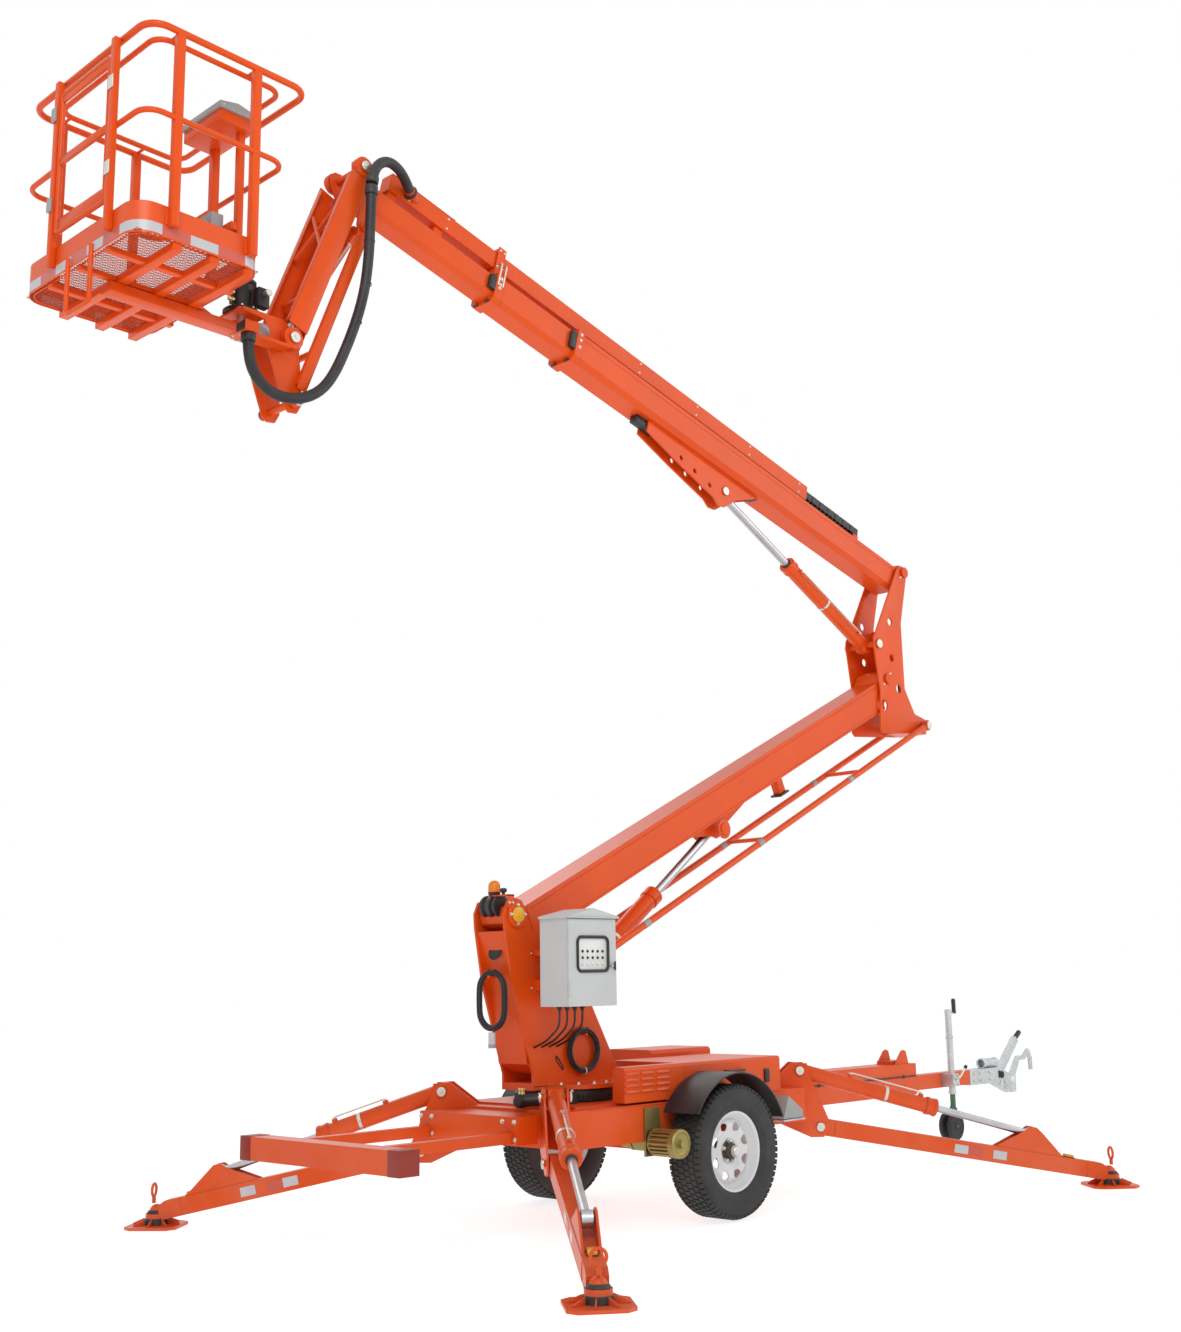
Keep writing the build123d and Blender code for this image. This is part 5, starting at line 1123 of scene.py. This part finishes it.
def chain(links=22, pitch=0.050, low=0.1085, high=0.1680):
    """The cable chain: links of two side plates, a cross bar and a pale lid, with cables inside."""
    sides, lids = [], []
    for step in range(links):
        s = 0.502 + pitch * step
        end = s + pitch * (0.9 if step == links - 1 else 1.14)
        for way in SIDES:
            y = about(way * (0.0295 if step % 2 else 0.0265), 0.0025)
            sides.append(UPPER.box(upper, "link", (s, end), y, (low, high - 0.006), 0.004, black_plastic))
        lid = (s + 0.006, s + pitch - 0.008), (-0.031, 0.031), (high - 0.006, high - 0.001)
        bar = (s + 0.012, s + pitch - 0.014), (-0.029, 0.029), (low, low + 0.004)
        lids.append(UPPER.box(upper, "lid", *lid, 0.0015, beige_plastic))
        sides.append(UPPER.box(upper, "bar", *bar, 0.001, black_plastic))
    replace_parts(joined(sides, "cable_chain_links"), "cable_chain")
    joined(lids, "cable_chain_lids")
    for y in (-0.014, 0.0, 0.014):
        upper.tube("chain_cable", [UPPER.at(s, y, 0.135) for s in (0.508, 1.595)], 0.006, 0, hose_skin)


chain()
# the knuckle's outline, holes and fittings are measured from pin B
KNUCKLE_OUTLINE = mm(
    (287, 941), (337, 935), (362, 880), (350, 846), (240, 466), (245, -48), (368, -230), (530, -262), (545, -330),
    (500, -372), (-90, -425), (-120, -400), (-95, -95), (-150, 240), (-150, 300), (222, 900),
)
KNUCKLE_HOLES = ((0.084, 0.459, 0.030), (0.085, 0.175, 0.030), (0.159, -0.057, 0.034), (-0.049, -0.206, 0.042))
CHEEK_OUT, CHEEK_THICK = 0.131, 0.012


def knuckle_plates():
    """The upright: two burnt plates with lightening holes, the closing plates and the pins through them."""
    parts = []
    for y in (-CHEEK_OUT, CHEEK_OUT - CHEEK_THICK):
        cheek = knuckle.plate("cheek", KNUCKLE_OUTLINE, y, CHEEK_THICK, 0.002, base=PIN_B)
        for x, z, radius in KNUCKLE_HOLES:
            bpy.ops.mesh.primitive_cylinder_add(
                vertices=40, radius=radius, depth=0.1, location=PIN_B + Vector((x, y, z)), rotation=(pi / 2, 0, 0)
            )
            cut(cheek, bpy.context.object)
        parts.append(cheek)
    for x, z in (((0.225, 0.241), (0.020, 0.440)), ((0.300, 0.540), (-0.372, -0.355))):
        parts.append(knuckle.block("closing_plate", x, (-0.1195, 0.1195), z, 0.002, base=PIN_B))
    for pin, radius, reach in (
        (PIN_B, 0.030, 0.143), (PIN_K, 0.030, 0.143), (PIN_F, 0.024, 0.143), (PIN_C, 0.022, 0.184),
    ):
        parts.append(knuckle.tube("pin", [pin - Y_WAY * reach, pin + Y_WAY * reach], radius, 0, sides=7))
    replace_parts(joined(parts, "knuckle_weldment"), "knuckle")
    knuckle.both_ends("pin_caps_b", PIN_B, 0.143, 0.042)
    knuckle.both_ends("pin_caps_f", PIN_F, 0.143, 0.034, zinc)
    knuckle.both_ends("pin_caps_c", PIN_C, 0.184, 0.030, zinc)
    for way in SIDES:
        keepers = (-0.045, -0.045), (0.045, 0.045), (0.266, 0.843), (0.356, 0.905)
        spots = [PIN_B + Vector((x, way * CHEEK_OUT, z)) for x, z in keepers]
        knuckle.bolts("keeper_bolts_%d" % way, spots, Y_WAY * way, 0.008)


def valves(x0=0.2415, z0=0.060):
    """The valve block on the knuckle: a drilled body, solenoids, fittings and short hoses."""
    body = knuckle.block(
        "valve_body", (x0, x0 + 0.060), (-0.079, 0.079), (z0 + 0.002, z0 + 0.238), 0.004, black_paint, PIN_B
    )
    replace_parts(body, "valve_block")
    solenoid = mm((0, 0), (14, 0), (15, 2), (15, 20), (7, 22), (7, 27), (0, 27))
    joined([
        knuckle.lathe("coil", solenoid, PIN_B + Vector((x0 + 0.060, y, z)), X_WAY, skin, 20)
        for y in (-0.055, -0.018, 0.018, 0.055) for z, skin in ((0.10, black_plastic), (0.20, zinc), (0.27, zinc))
    ], "valve_coils")
    for y in (-0.06, -0.02, 0.02, 0.06):
        drop = (0.030, z0 + 0.002), (0.030, -0.06), (0.075, -0.19), (0.16, -0.354)
        knuckle.tube("valve_hose", [PIN_B + Vector((x0 + x, y, z)) for x, z in drop], 0.009, 0.05, hose_skin)


knuckle_plates()
valves()

# ---------------------------------------------------------------- lower boom and its link
def lower_trim():
    """Weld lines, boss plates and the rest post of the lower boom, and the bands on its link rods."""
    for way in SIDES:
        for name, start, end, bead in (
            ("low_seam_top_%d", (0.14, -0.020), (4.18, -0.020), 0.0022),
            ("low_seam_foot_%d", (0.14, -0.190), (4.18, -0.190), 0.0022),
            ("lug_seam_%d_0", (0.105, -0.17), (0.105, 0.0), 0.004),
            ("lug_seam_%d_4", (4.214, -0.17), (4.214, 0.0), 0.004),
        ):
            lower.weld(name % way, *[LOWER.at(s, way * 0.1052, t) for s, t in (start, end)], bead)
    boss = mm((0, 0), (62, 0), (64, 2), (64, 8), (40, 10), (40, 16), (36, 19), (0, 19))
    for way in SIDES:
        lower.lathe("cylinder_boss_%d" % way, boss, LOW_ROD_PIN + Y_WAY * way * 0.1052, Y_WAY * way, orange, 36)
    LOWER.box(lower, "rest_post", (2.760, 2.830), (-0.030, 0.030), (-0.330, -0.2055), 0.004)
    LOWER.box(lower, "rest_pad", (2.740, 2.850), (-0.045, 0.045), (-0.345, -0.330), 0.004, black_plastic)
    for s in (0.62, 1.90, 3.10):
        for way in SIDES:
            band = ring(0.0222, 0.0234, 0.05, True)
            link_rods.lathe("tape_band", band, ROD.at(s, way * 0.160), ROD.s_way, grey_plastic, 24)


lower_trim()
turret.both_ends("pin_caps_d", PIN_D, 0.184, 0.030, zinc)
turret.both_ends("pin_caps_e", PIN_E, 0.138, 0.034, zinc)
turret.both_ends("pin_caps_a", PIN_A, 0.142, 0.044, yellow_plastic)

# ---------------------------------------------------------------- turret
RING_X, RING_RADIUS = -0.600, 0.282
REAR_HOLE, REAR_WAY = (-1.142, 0, 1.512), (-0.94, 0, 0.34)


def turret_trim():
    """The sheave pack, holes' rims, weld lines and lifting slots of the turret."""
    sheaves = mm(
        (0, -60), (62, -60), (62, -46), (46, -40), (46, -20), (62, -14), (62, 14), (46, 20), (46, 40), (62, 46),
        (62, 60), (0, 60),
    )
    turret.lathe("sheave_pack", sheaves, (-1.150, 0, 1.760), Y_WAY, black_plastic, 40)
    turret.lathe("rear_hole_rim", ring(0.036, 0.052, 0.004, True), REAR_HOLE, REAR_WAY, black_paint, 40)
    turret.lathe("rear_hole_plug", disc(0.036, 0.003), REAR_HOLE, REAR_WAY, hose_skin, 32)
    boss = mm((30.5, 0), (70, 0), (72, 2), (72, 11), (70, 13.5), (30.5, 13.5), (30.5, 0))
    for way in SIDES:
        y, out = way * 0.1284, Y_WAY * way
        turret.weld("turret_foot_seam_%d" % way, (-0.975, y, 0.7715), (-0.275, y, 0.7715), 0.0045)
        turret.lathe("pin_boss_%d" % way, boss, PIN_A + out * 0.128, out, orange, 40)
        turret.bolts("boss_bolts_%d" % way, circle(PIN_A + out * 0.1415, 0.052, range(0, 360, 90)), out, 0.008)
        link_boss = ring(0.0225, 0.040, 0.008, True)
        turret.lathe("link_boss_%d" % way, link_boss, PIN_D + out * 0.128, out, orange, 32)
        slot = (-0.800, 0.93), (-0.745, 0.87), (-0.745, 0.845), (-0.800, 0.905)
        slot = [(x, way * 0.129, z) for x, z in slot]
        turret.tube("rubber_slot_%d" % way, slot, 0.004, 0.008, black_plastic, True, 2, 4)
    # no bolt stands under the side plates
    free = [a for a in range(0, 360, 20) if abs(RING_RADIUS * sin(radians(a))) > 0.140 or cos(radians(a)) > 0.96]
    turret.bolts("ring_bolts", circle((RING_X, 0, 0.770), RING_RADIUS, free, Y_WAY), Z_WAY, 0.011)


turret_trim()


def slewing():
    """The slewing ring's outer race with its teeth, and the worm drive with its motor."""
    race = mm((281, 0), (286, 2), (288, 8), (288, 56), (286, 62), (281, 64))
    chassis.lathe("race_seal", race, (RING_X, 0, 0.677), Z_WAY, black_paint, 96)
    joined([
        chassis.tube("tooth", [spot - Z_WAY * 0.012, spot + Z_WAY * 0.012], 0.0055, 0, black_paint, sides=1)
        for spot in circle((RING_X, 0, 0.705), 0.2885, range(0, 360, 5), Y_WAY)
    ], "ring_teeth")
    motor = mm(
        (0, 0), (46, 0), (48, 3), (48, 22), (37, 26), (37, 60), (33.5, 64), (33.5, 190), (37, 194), (37, 226),
        (30, 244), (0, 246),
    )
    chassis.lathe("slew_motor", motor, (-0.9302, -0.200, 0.705), -X_WAY, black_paint, 40)
    chassis.bolts("worm_bolts", [(x, y, 0.7385) for x in (-0.91, -0.82) for y in (-0.27, -0.13)], Z_WAY, 0.008)
    for y in (-0.190, -0.212):
        chassis.couplings("motor_fitting", (-1.140, y, 0.738), (-1.140, y, 0.9))


slewing()


def cabinet(front=-0.5006):
    """The ground-control cabinet: window frame, pale face with keys, lock, drip edge and cable glands."""
    window = (-0.998, 1.392), (-0.755, 1.392), (-0.755, 1.578), (-0.998, 1.578)
    window = [(x, front - 0.003, z) for x, z in window]
    door.tube("window_frame", window, 0.008, 0.030, hose_skin, True, 3, 6)
    door.block("window_face", (-0.990, -0.763), (front + 0.003, front + 0.007), (1.401, 1.569), 0.001, white_panel)
    key = mm((0, 0), (8, 0), (8, 2), (4, 3), (4, 8.5), (0, 9.5))
    joined([
        door.lathe("key", key, (-0.955 + 0.04 * column, front + 0.003, z), -Y_WAY, skin, 16)
        for z, skin in ((1.43, zinc), (1.465, black_plastic), (1.50, black_plastic)) for column in range(5)
    ], "switches")
    lock = mm((0, 0), (16, 0), (17, 2), (17, 6), (8, 8), (8, 11), (0, 11))
    door.lathe("cabinet_lock", lock, (-0.726, front - 0.014, 1.42), -Y_WAY, zinc, 28)
    y = front - 0.033, front - 0.024
    door.block("lock_handle", (-0.731, -0.721), y, (1.395, 1.445), 0.003, black_plastic)
    rivet = (0, 0), (0.006, 0), (0.005, 0.002), (0, 0.003)
    for x, z in ((-1.045, 1.23), (-0.708, 1.23), (-1.045, 1.655), (-0.708, 1.655)):
        door.lathe("door_rivet", rivet, (x, front, z), -Y_WAY, zinc, 14)
    turret.tube("drip_edge", [(x, -0.5145, 1.690) for x in (-1.081, -0.672)], 0.003, 0, grey_paint, sides=2)
    gland = mm((0, 0), (14, 0), (16, 3), (16, 12), (10, 14), (10, 24), (0, 26))
    for x in (-1.02, -0.96, -0.90, -0.84):
        turret.lathe("cable_gland", gland, (x, -0.380, 1.2038), -Z_WAY, black_plastic, 20)
        route = (x, -0.380, 1.18), (x, -0.380, 1.10), (x + 0.03, -0.250, 1.02), (x + 0.05, -0.1285, 0.98)
        turret.tube("gland_cable", route, 0.006, 0.04, hose_skin, sides=2)
    for z in (1.285, 1.475):
        spots = [(x, -0.1285, z + 0.02) for x in (-0.985, -0.775)]
        turret.bolts("bracket_bolts_%d" % round(z * 1000), spots, -Y_WAY, 0.007)


cabinet()


def warning_lamp(x=-1.150):
    """The amber beacon: a ribbed lens on a black base, the knob beside it, and the grip of the plug below."""
    lens = mm(
        (0, 66), (10, 65.5), (22, 60), (30, 50), (34, 40), (34.5, 34), (33.5, 32), (35, 26), (34, 24), (35.5, 16),
        (34.5, 14), (35.5, 6), (35.5, 0), (0, 0),
    )
    turret.lathe("beacon_lens", lens, (x, 0, 1.840), Z_WAY, amber, 48)
    base = mm((0, 0), (30, 0), (32, 2), (35.5, 10), (35.5, 18), (0, 18))
    turret.lathe("beacon_base", base, (x, 0, 1.8222), Z_WAY, black_plastic, 40)
    shelf = [turret.block("shelf", about(x, 0.025), *yz, 0.002) for yz in (
        ((-0.138, 0.030), (1.812, 1.822)), ((-0.138, -0.1283), (1.745, 1.822)),
    )]
    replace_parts(joined(shelf, "beacon_bracket"), "beacon")
    knob = mm((0, 0), (10, 0), (10, 12), (19, 16), (21, 24), (19, 34), (10, 38), (0, 38))
    turret.lathe("bracket_knob", knob, (x, -0.075, 1.822), Z_WAY, black_plastic, 28)
    turret.bolts("beacon_bolts", [(x + dx, -0.138, 1.775) for dx in (-0.013, 0.013)], -Y_WAY, 0.006)
    grip = mm((0, 0), (20, 0), (21, 3), (21, 20), (17, 26), (16, 50), (12, 60), (9, 85), (0, 85))
    turret.lathe("plug_grip", grip, (-1.175, -0.004, 0.983), Z_WAY, grey_plastic, 32)


warning_lamp()

# ---------------------------------------------------------------- outriggers
# heights of pivot, upper pin and rod eye, and how far the eye and the foot's ball stand out from the pivot
ENDS = {
    "front": dict(x=1.189, y=0.480, turn=42, pivot=0.412, pin=0.757, eye=(0.331, 1.375), ball=1.870, barrel=0.920),
    "rear": dict(x=-1.206, y=0.543, turn=129, pivot=0.410, pin=0.735, eye=(0.300, 1.175), ball=1.540, barrel=0.760),
}
LEG_HALF, BALL_Z, PIN_BACK = 0.0502, 0.085, -0.120
RIB = ((0.072, 0.0695), (0.138, 0.0695), (0.138, 0.062), (0.072, 0.034))
BOOT = mm((24, 22), (50, 4), (56, -6), (52, -12), (60, -20), (56, -28), (66, -38), (70, -68.5))


def outrigger(end_name, side_name, way):
    """Pin caps, tape patches, lamp, foot boot, lifting ring and ram fittings of one leg."""
    end = ENDS[end_name]
    tag = end_name + "_" + side_name
    turn = radians(end["turn"])
    out = Vector((cos(turn), way * sin(turn), 0))
    across = Vector((out.y, -out.x, 0))
    pivot, upper_pin, eye, ball = (
        here(end["x"], way * end["y"], z) + out * reach
        for z, reach in ((end["pivot"], 0), (end["pin"], PIN_BACK), end["eye"], (BALL_Z, end["ball"]))
    )
    leg, on = Beam(pivot, ball - pivot, across), On("leg_" + tag)
    length = (ball - pivot).length
    for sign in SIDES:
        skin = white_paint if sign * way > 0 else zinc
        side = across * sign
        chassis.pin_cap("pivot_cap_%s_%d" % (tag, sign), pivot + side * 0.078, side, 0.027, zinc)
        chassis.pin_cap("upper_cap_%s_%d" % (tag, sign), upper_pin + side * 0.078, side, 0.027, skin)
    ram(tag, "leg_barrel_" + tag, upper_pin, eye, end["barrel"], 0.0475, 0.022, 0.34, (0, 1), across)
    # three patches, silver, red and silver, on each side face
    for sign in SIDES:
        for start, colour in ((0.0, tape_silver), (0.090, tape_red), (0.250, tape_silver)):
            s, y = length * 0.46 + start, sign * LEG_HALF
            leg.box(on, "tape_" + tag, (s, s + 0.088), (y, y + sign * 0.0008), (-0.026, 0.026), 0, colour)
    s = length * 0.84
    leg.box(on, "side_lamp_" + tag, (s, s + 0.06), (-0.022, 0.022), (LEG_HALF, 0.070), 0.005, yellow_plastic)
    leg.box(on, "lamp_base_" + tag, (s - 0.006, s + 0.066), (-0.026, 0.026), (0.0498, 0.055), 0.002, black_plastic)
    for s in (0.10, length - 0.16):
        for sign in SIDES:
            ends = [leg.at(s, sign * LEG_HALF, t) for t in (-0.042, 0.042)]
            on.weld("leg_seam_%s_%d_%d" % (tag, sign, round(s * 10)), *ends, 0.003)
    # the foot: a rubber boot over its ball, a ribbed pad and its lifting ring
    on.lathe("foot_boot_" + tag, BOOT, ball, Z_WAY, hose_skin, 36)
    ribs = []
    for step in range(8):
        angle = 2 * pi * step / 8 + turn
        ray = Vector((cos(angle), sin(angle), 0))
        corners = [ball + ray * r - Z_WAY * z for r, z in RIB]
        ribs.append(on.sheet("rib", corners, ray.cross(Z_WAY) * 0.006, 0.001))
    joined(ribs, "foot_ribs_" + tag)
    eye_bolt = ball + out * 0.020 + Z_WAY * 0.118
    hoop = [eye_bolt + (across * cos(a) + Z_WAY * sin(a)) * 0.036 for a in (pi * k / 6 for k in range(12))]
    on.tube("lifting_ring_" + tag, hoop, 0.008, 0.012, orange, True, 3, 2)
    on.tube("ring_stem_" + tag, [eye_bolt - Z_WAY * z for z in (0.036, 0.072)], 0.011, 0, sides=4)


for end_name in ENDS:
    for side_name, side_way in NAMED_SIDES:
        outrigger(end_name, side_name, side_way)

# ---------------------------------------------------------------- chassis
def chassis_trim(chock_x=0.62):
    """Bumper ends, beam welds and bosses, hangers' bolts, motors, chocks and mudguard lips of the frame."""
    boss = mm((0, 0), (46, 0), (48, 2), (48, 10), (22, 12), (22, 20), (0, 20))
    case = mm((0, 0), (50, 0), (52, 3), (52, 20), (40, 26), (40, 90), (34, 96), (0, 98))
    wedge = [(chock_x + dx, z) for dx, z in ((0, 0.50), (0.20, 0.50), (0.20, 0.545), (0.06, 0.635))]
    for way in SIDES:
        out, side = Y_WAY * way, "_%d" % way
        y = span(way, 0.560, 0.6512)
        chassis.block("bumper_end" + side, (-2.3615, -2.2385), y, (0.4555, 0.5785), 0.002, dark_red)
        chassis.weld("beam_seam" + side, *[(x, way * 0.5254, 0.655) for x in (-0.95, 0.79)], 0.003)
        chassis.lathe("beam_boss" + side, boss, (0.36, way * 0.5252, 0.56), out, orange, 36)
        spots = [(x, way * 0.4975, z) for x in (-0.030, 0.030) for z in (0.43, 0.452)]
        chassis.bolts("hanger_bolts" + side, spots, out, 0.007)
        chassis.lathe("motor_case" + side, case, (-0.455, way * 0.415, 0.455), -out, olive, 36)
        chassis.plate("chock" + side, wedge, way * 0.545, way * 0.095, 0.004, grey_plastic)
        x = chock_x - 0.010, chock_x + 0.21
        chassis.block("chock_bracket" + side, x, span(way, 0.5255, 0.65), (0.488, 0.497), 0.001, galvanised)
        arcs = [circle((0, way * y, WHEEL_Z), 0.4335, range(22, 149, 7)) for y in (0.548, 0.800)]
        lips = [chassis.tube("lip", arc, 0.0045, 0, black_plastic, sides=2) for arc in arcs]
        joined(lips, "mudguard_lips" + side)
    spots = [(-1.3603, way * 0.33 + dy, z) for way in SIDES for dy in (-0.045, 0.045) for z in (0.53, 0.62)]
    chassis.bolts("arm_bolts", spots, -X_WAY, 0.010)


chassis_trim()


def covers():
    """Louvres, latches, handle, seam and hinges of the power-pack cover."""
    side = lies("power_cover")[0].y
    skin = side - 0.0003
    louvres = []
    for row in range(4):
        for column in range(3):
            x, z = -0.655 + column * 0.130, 0.725 + row * 0.032
            lip = (x, side + 0.0004, z), (x, side + 0.0004, z + 0.020), (x, side - 0.0085, z + 0.002)
            louvres.append(chassis.sheet("louvre", lip, (0.112, 0, 0), 0.0008))
    joined(louvres, "louvres")
    for x in (0.02, 0.62):
        name = "cover_latch_%d" % round(x * 100)
        chassis.block(name, about(x, 0.022), (side - 0.012, skin), (0.715, 0.795), 0.004, black_plastic)
    handle = (0.22, skin), (0.22, side - 0.034), (0.38, side - 0.034), (0.38, skin)
    chassis.tube("cover_handle", [(x, y, 0.80) for x, y in handle], 0.007, 0.012, black_plastic)
    chassis.tube("cover_seam", [(-0.148, side - 0.0004, z) for z in (0.672, 0.850)], 0.0025, 0, sides=1)
    for x in (0.42, 0.76):
        chassis.lathe("cover_hinge_%d" % round(x * 100), disc(0.009, 0.070), (x, 0.5035, 0.700), X_WAY, zinc, 20)


JOCKEY_X, JOCKEY_Y = 3.430, -0.112


def coupling_trim():
    """Sleeve, draw head, hand-brake lever with its grip, safety loop and jockey clamp."""
    for name, skin, steps, centre, axis, profile in (
        ("draw_sleeve", galvanised, 40, (4.06, 0, 0.640), X_WAY, mm(
            (30, 0), (40, 0), (42, 3), (42, 20), (37, 24), (37, 190), (42, 194), (42, 210), (30, 212),
        )),
        ("bellows", hose_skin, 36, (4.23, 0, 0.555), (1, 0, -0.12),
            [(0.034 + 0.010 * (step % 2), 0.012 * step) for step in range(11)]),
        ("head_cap", galvanised, 40, (4.500, 0, 0.4715), Z_WAY, mm(
            (0, 64), (20, 62), (36, 50), (46.2, 30), (47.5, 0), (46.2, -2),
        )),
        ("lever_grip", black_plastic, 32, (4.600, 0, 0.800), (0.85, 0, 0.527), mm(
            (0, 0), (17.5, 0), (20.5, 4), (19.5, 20), (20.5, 36), (19.5, 52), (20.5, 68), (19.5, 86), (21, 104),
            (17, 116), (0, 118),
        )),
        ("crank_grip", black_plastic, 28, (3.518, JOCKEY_Y, 1.042), Z_WAY, mm(
            (0, 0), (13.5, 0), (16.5, 4), (15.5, 50), (16.5, 96), (12, 112), (0, 114),
        )),
        ("jockey_top", galvanised, 32, (JOCKEY_X, JOCKEY_Y, 1.060), Z_WAY, mm(
            (0, 16), (18, 15), (26.2, 8), (26.2, 0), (25.5, -12),
        )),
        ("tube_ring", galvanised, 32, (JOCKEY_X, JOCKEY_Y, 0.4555), Z_WAY, ring(0.0254, 0.030, 0.018, True)),
        ("tube_ring", galvanised, 32, (JOCKEY_X, JOCKEY_Y, 0.86), Z_WAY, ring(0.0254, 0.030, 0.018, True)),
    ):
        chassis.lathe(name, profile, centre, axis, skin, steps)
    lever = (JOCKEY_X, -0.152, 0.555), (JOCKEY_X, -0.185, 0.575), (3.50, -0.190, 0.640)
    chassis.tube("clamp_lever", lever, 0.006, 0.015, zinc)
    knob = mm((0, 0), (12, 0), (14, 6), (12, 22), (0, 24))
    chassis.lathe("clamp_knob", knob, lever[-1], (0.7, -0.05, 0.7), black_plastic, 24)
    for name, y, way, size, along, up in (
        ("clamp_bolts_front", -0.151, -1, 0.007, (3.40, 3.46), (0.525, 0.585)),
        ("coupling_bolts", -0.0525, -1, 0.009, (3.86, 3.96, 4.10), (0.52, 0.575)),
        ("coupling_bolts_far", 0.0525, 1, 0.009, (3.86, 3.96, 4.10), (0.52, 0.575)),
        ("draw_bolts", -0.0905, -1, 0.011, (1.56, 1.66), (0.52, 0.66)),
    ):
        chassis.bolts(name, [(x, y, z) for x in along for z in up], Y_WAY * way, size)
    loop = (4.36, -0.031, 0.50), (4.40, -0.05, 0.44), (4.34, -0.055, 0.40), (4.28, -0.05, 0.44), (4.31, -0.031, 0.50)
    chassis.tube("safety_loop", loop, 0.004, 0.02, zinc, sides=2)
    joined([
        chassis.block("clip", (x, x + 0.016), (-0.100, -0.0902), (0.600, 0.622), 0.002, black_plastic)
        for x in (1.75, 2.10, 2.45, 2.80)
    ], "cable_clips")
    chassis.tube("drawbar_cable", [(x, -0.0955, 0.611) for x in (1.52, 2.97)], 0.0045, 0, hose_skin, sides=2)


covers()
coupling_trim()


def jockey():
    """Twin jockey wheels, each a rounded tyre on a dished hub."""
    profile = mm(
        (9.5, -17), (30, -17), (34, -11), (66, -9), (72, -15), (88, -16.5), (100, -12), (104.5, -4), (104.5, 4),
        (100, 12), (88, 16.5), (72, 15), (66, 9), (34, 11), (30, 17), (9.5, 17), (9.5, -17),
    )
    places = [here(3.390, JOCKEY_Y + way * 0.036, 0.225) for way in SIDES]
    return joined(
        [jockey_wheels.lathe("jockey_tyre", profile, place, Y_WAY, rubber, 56) for place in places], "jockey_tyres"
    )


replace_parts(jockey(), "jockey_wheels")
